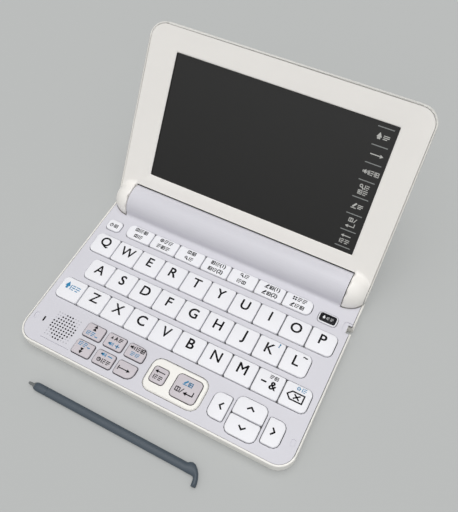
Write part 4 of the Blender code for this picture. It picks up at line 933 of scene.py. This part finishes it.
list_sign(-26.0, -45.5)
lines_sign(-23.5, -45.5, 2.0, 2.0)
print_key("volume_down_key", dark_ink)
print("page and volume keys printed")

# %% [markdown]
# The voice key has a loudspeaker. The jump key has one long arrow from a bar, the back key an
# arrow to the left, and the enter key the bent arrow with a book before it.

# %% Voice, jump, back and enter keys
speaker_sign(-17.3, -32.9, 2.2, 0.36)
list_sign(-14.1, -32.9)
table_sign(-11.6, -32.9)
print_key("voice_key", dark_ink)
lines_sign(-15.6, -35.9, 2.2, 1.9, 0.36)
list_sign(-13.0, -35.9, 1.9, 0.36)
print_key("voice_key", blue_ink, "print_blue")
bar(-18.0, -44.6, 0.5, 2.2)
arrow_line(-14.9, -44.6, 5.6, "right")
print_key("jump_key", dark_ink)
arrow_line(1.3, -37.9, 5.0, "left", 0.48)
list_sign(0.0, -40.8, 2.1)
lines_sign(2.6, -40.8, 2.1, 2.1)
print_key("back_key", dark_ink)
pencil(14.4, -37.0, 2.3, 0.42)
table_sign(17.1, -37.1, 2.3, 0.4)
print_key("enter_key", blue_ink, "print_blue")
book(12.3, -41.2, 2.6, 0.44)
bar(14.5, -41.2, 3.0, 0.42, 62)
return_arrow(18.1, -41.2, 4.8, 2.8, 0.55)
print_key("enter_key", dark_ink)
print("voice, jump, back and enter keys printed")

# %% [markdown]
# The four arrow keys share one chevron. It is drawn pointing to the right, and its three corners
# are turned by quarters of a circle for the other keys.

# %% Arrow keys
CHEVRON = ((-0.65, 1.5), (0.65, 0.0), (-0.65, -1.5))
CHEVRON_WEIGHT = 0.8
ARROW_KEYS = (("arrow_left_key", 34.0, -39.2, 180), ("arrow_up_key", 47.0, -34.3, 90),
              ("arrow_down_key", 47.0, -44.2, -90), ("arrow_right_key", 60.3, -39.2, 0))
for name, x, y, turn_deg in ARROW_KEYS:
    turn = Matrix.Rotation(math.radians(turn_deg), 2)
    corners = [turn @ Vector(corner) for corner in CHEVRON]
    stroke([(x + corner.x, y + corner.y) for corner in corners], CHEVRON_WEIGHT)
    print_key(name, dark_ink)
print("arrow keys printed:", len(ARROW_KEYS))

# %% [markdown]
# ## Touch strip
# The right edge of the screen has a printed column of touch areas, set off by fine lines. It
# could be drawn in place, but a slanting plane is awkward to draw on. So it is drawn flat in the
# lid's own plane, with x across and y from the hinge to the far edge, then laid just above the
# glass at the angle of the open lid.

# %% Lines of the touch strip
GLASS_DEPTH = -0.5 * MM
STRIP_X = 53.1
STRIP_TOP = 80.94
STRIP_PITCH = 8.72
TOUCH_AREAS = 7
RULE_LENGTH, RULE_WIDTH = 8.0, 0.45
on_glass = on_lid @ Matrix.Translation((0, 0, GLASS_DEPTH + PRINT_LIFT))
for line in range(TOUCH_AREAS + 1):
    bar(STRIP_X, STRIP_TOP - line * STRIP_PITCH, RULE_LENGTH, RULE_WIDTH)
finish_print("print_touch_rules", rule_ink, "lid", on_glass)
centres = [STRIP_TOP - (line + 0.5) * STRIP_PITCH for line in range(TOUCH_AREAS)]
print("touch areas:", len(centres))

# %% [markdown]
# Each touch area holds one or two rows of signs, from a house at the top to a list at the bottom.
# They use a paler ink than the lines, because the signs stand out more on the dark glass.

# %% Signs of the touch strip
house(STRIP_X - 1.8, centres[0], 2.5)
lines_sign(STRIP_X + 1.6, centres[0], 3.0, 2.0, 0.4)
arrow_line(STRIP_X, centres[1], 6.0, "right", 0.48)
speaker_sign(STRIP_X - 2.2, centres[2], 2.5, 0.4)
list_sign(STRIP_X + 0.8, centres[2], 2.3, 0.38)
table_sign(STRIP_X + 3.4, centres[2], 2.3, 0.36)
magnifier(STRIP_X - 1.3, centres[3] + 1.3, 2.4, 0.4)
list_sign(STRIP_X + 1.3, centres[3] + 1.3, 2.2, 0.38)
table_sign(STRIP_X - 1.3, centres[3] - 1.5, 2.2, 0.36)
lines_sign(STRIP_X + 1.3, centres[3] - 1.5, 2.2, 2.2, 0.38)
pencil(STRIP_X - 1.6, centres[4], 2.6, 0.42)
lines_sign(STRIP_X + 1.5, centres[4], 2.6, 2.0, 0.4)
book(STRIP_X - 0.6, centres[5] + 1.4, 2.3, 0.38)
bar(STRIP_X + 1.6, centres[5] + 1.4, 2.5, 0.36, 62)
return_arrow(STRIP_X, centres[5] - 1.5, 4.4, 2.3, 0.42)
arrow_line(STRIP_X, centres[6] + 1.4, 4.6, "left", 0.42)
list_sign(STRIP_X - 1.4, centres[6] - 1.5, 2.2, 0.38)
lines_sign(STRIP_X + 1.3, centres[6] - 1.5, 2.2, 2.2, 0.38)
finish_print("print_touch_signs", screen_ink, "lid", on_glass)
print("touch strip printed")

# %% [markdown]
# ## Speaker and microphone
# A black cloth behind the grille keeps dust out. It could be one sheet under the deck, but then
# the pale walls of the small holes would show. So the cloth is pressed up into the holes as
# discs, which read as black dots: partly the cloth, partly painted shade of the holes. The
# microphone's slot is filled the same way. The grille is a square pattern of dimples of which
# only the middle ones go through, so the outer ones are shallow and pale; each gets a flat disc
# just above the deck, a little darker than the deck, as painted shade of its hollow.

# %% Speaker cloth and painted shade in the grille
SPEAKER_X, SPEAKER_Y = -54.15, -39.35
GRILLE_PITCH = 1.6
GRILLE_STEPS = 4
GRILLE_REACH = 17.3
DECK_TOP = 7.9 * MM
CLOTH_DEPTH = 0.08 * MM


def grille_discs(through, radius, corners):
    """Discs in the holes of the grille that go through, or in the dimples that don't."""
    count = 0
    steps = range(-GRILLE_STEPS, GRILLE_STEPS + 1)
    for row in steps:
        for column in steps:
            if (row * row + column * column <= GRILLE_REACH) == through:
                x, y = SPEAKER_X + column * GRILLE_PITCH, SPEAKER_Y + row * GRILLE_PITCH
                disc(x, y, radius, corners)
                count += 1
    return count


# Black discs almost flush in the holes: partly the cloth, partly painted shade of the holes.
holes = grille_discs(True, 0.48, 10)
bar(-65.5, -39.6, 0.86, 2.86)
under_top = Matrix.Translation((0, 0, DECK_TOP - CLOTH_DEPTH))
finish_print("speaker_cloth_and_shade", black_felt_and_shade, "base", under_top)
# Painted shade: flat discs a little darker than the deck over the shallow dimples.
dimples = grille_discs(False, 0.36, 8)
above_top = Matrix.Translation((0, 0, DECK_TOP + PRINT_LIFT))
finish_print("grille_dimple_shade", dimple_shade, "base", above_top)
print("speaker cloth in", holes, "holes,", dimples, "dimples")

# %% [markdown]
# ## Floor
# The object lies on a plain grey surface. A single plane is enough, because its edge is far
# outside the picture. It lies a fifth of a millimetre below the object's feet, so the two never
# share a plane.

# %% Floor
FLOOR_COLOUR = (191, 193, 192)
FLOOR_SIZE = 6.0
FLOOR_DROP = 0.2 * MM
bpy.ops.mesh.primitive_plane_add(size=FLOOR_SIZE, location=(0, 0, -FLOOR_DROP))
floor = bpy.context.object
floor.name = "floor"
paper = plastic("floor_paper", FLOOR_COLOUR, 0.9, grain=0.0, cloud=0.004, shine=0.2)
floor.data.materials.append(paper)
print("floor", FLOOR_SIZE, "m wide")

# %% [markdown]
# A studio sweep has little shadow, because light comes from all round. More lamps would thin the
# shadow too, but they would also bleach the object. So part of the paper's look is its plain
# colour, for the rays that come from the camera, a reflection or a clear piece. The rest is lit
# as usual, and the object still casts a soft shadow on it.

# %% Even paper
PLAIN_SHARE = 0.35
tree = paper.node_tree
surface = tree.nodes["Material Output"].inputs["Surface"]
lit = surface.links[0].from_socket
plain = add_node(tree, "ShaderNodeEmission", {"Color": socket_colour(FLOOR_COLOUR)})
ray = add_node(tree, "ShaderNodeLightPath")
seen = ray.outputs["Is Camera Ray"]
for kind in ("Is Glossy Ray", "Is Transmission Ray"):
    either = add_node(tree, "ShaderNodeMath", operation="MAXIMUM")
    tree.links.new(seen, either.inputs[0])
    tree.links.new(ray.outputs[kind], either.inputs[1])
    seen = either.outputs["Value"]
share = add_node(tree, "ShaderNodeMath", {1: PLAIN_SHARE}, operation="MULTIPLY")
tree.links.new(seen, share.inputs[0])
blend = add_node(tree, "ShaderNodeMixShader")
tree.links.new(share.outputs["Value"], blend.inputs["Fac"])
tree.links.new(lit, blend.inputs[1])
tree.links.new(plain.outputs["Emission"], blend.inputs[2])
tree.links.new(blend.outputs["Shader"], surface)
print("plain share of the paper:", PLAIN_SHARE)

# %% [markdown]
# ## Light
# The photograph was taken under a wide, even light from above, so its shadows are soft and short.
# Area lamps could give that, but they leave bright shapes in the gloss. A sky does it without
# them: it is bright overhead and dim near the horizon, which leaves the upright walls darker than
# the tops. It is also brighter towards the front, because the lid's face is turned that way: the
# height of each direction is multiplied by a share that grows from the back to the front.

# %% Sky
HORIZON_STRENGTH = 0.18
OVERHEAD_STRENGTH = 0.83
FRONT_SHARE = -0.95
world = bpy.data.worlds.new("studio")
bpy.context.scene.world = world
world.use_nodes = True
tree = world.node_tree
sky = tree.nodes["Background"]
sky.inputs["Color"].default_value = (1.0, 1.0, 1.0, 1.0)
direction = add_node(tree, "ShaderNodeTexCoord")
split = add_node(tree, "ShaderNodeSeparateXYZ")
tree.links.new(direction.outputs["Generated"], split.inputs["Vector"])
front = add_node(tree, "ShaderNodeMath", {1: FRONT_SHARE, 2: 1.0}, operation="MULTIPLY_ADD")
tree.links.new(split.outputs["Y"], front.inputs[0])
rise = add_node(tree, "ShaderNodeMath", operation="MULTIPLY")
tree.links.new(front.outputs["Value"], rise.inputs[0])
tree.links.new(split.outputs["Z"], rise.inputs[1])
ends = {"To Min": HORIZON_STRENGTH, "To Max": OVERHEAD_STRENGTH}
height = add_node(tree, "ShaderNodeMapRange", ends, clamp=False)
tree.links.new(rise.outputs["Value"], height.inputs["Value"])
tree.links.new(height.outputs["Result"], sky.inputs["Strength"])
print("sky strength from", HORIZON_STRENGTH, "at the horizon to", OVERHEAD_STRENGTH, "overhead")

# %% [markdown]
# A sky alone leaves the object floating. A weak sun, almost straight above, gives the walls and
# the keys their shadows. Its disc is 40 degrees wide, as a large soft box is, so no shadow has a
# hard edge.

# %% Sun
SUN_PLACE = Vector((0.05, 0.12, 1.0))
SUN_ENERGY = 1.0
SUN_ANGLE_DEG = 40.0
bpy.ops.object.light_add(type="SUN", location=SUN_PLACE)
sun = bpy.context.object
sun.name = "soft_sun"
sun.data.energy = SUN_ENERGY
sun.data.angle = math.radians(SUN_ANGLE_DEG)
sun.rotation_euler = (-SUN_PLACE).to_track_quat("-Z", "Y").to_euler()
print("sun", SUN_ANGLE_DEG, "degrees wide")

# %% [markdown]
# ## Camera
# The camera stands in front and to the right, looks down steeply and is rolled a little. Such a
# view could be set by eye, but here its place, turn and lens were fitted to known points of the
# base and the lid, so that each edge falls where the photograph has it. The Standard view keeps
# the colours as they are written.

# %% Camera
CAMERA_PLACE = (82.66 * MM, -116.96 * MM, 277.48 * MM)
CAMERA_TURN_DEG = (32.678, 0.818, 27.319)
CAMERA_LENS_MM = 42.52
SENSOR_WIDTH_MM = 36.0
NEAREST_SEEN = 0.01
camera_turn = [math.radians(angle) for angle in CAMERA_TURN_DEG]
bpy.ops.object.camera_add(location=CAMERA_PLACE, rotation=camera_turn)
camera = bpy.context.object
camera.data.lens = CAMERA_LENS_MM
camera.data.sensor_width = SENSOR_WIDTH_MM
camera.data.clip_start = NEAREST_SEEN
bpy.context.scene.camera = camera
bpy.context.scene.view_settings.view_transform = "Standard"
print("camera with a lens of", CAMERA_LENS_MM, "mm")
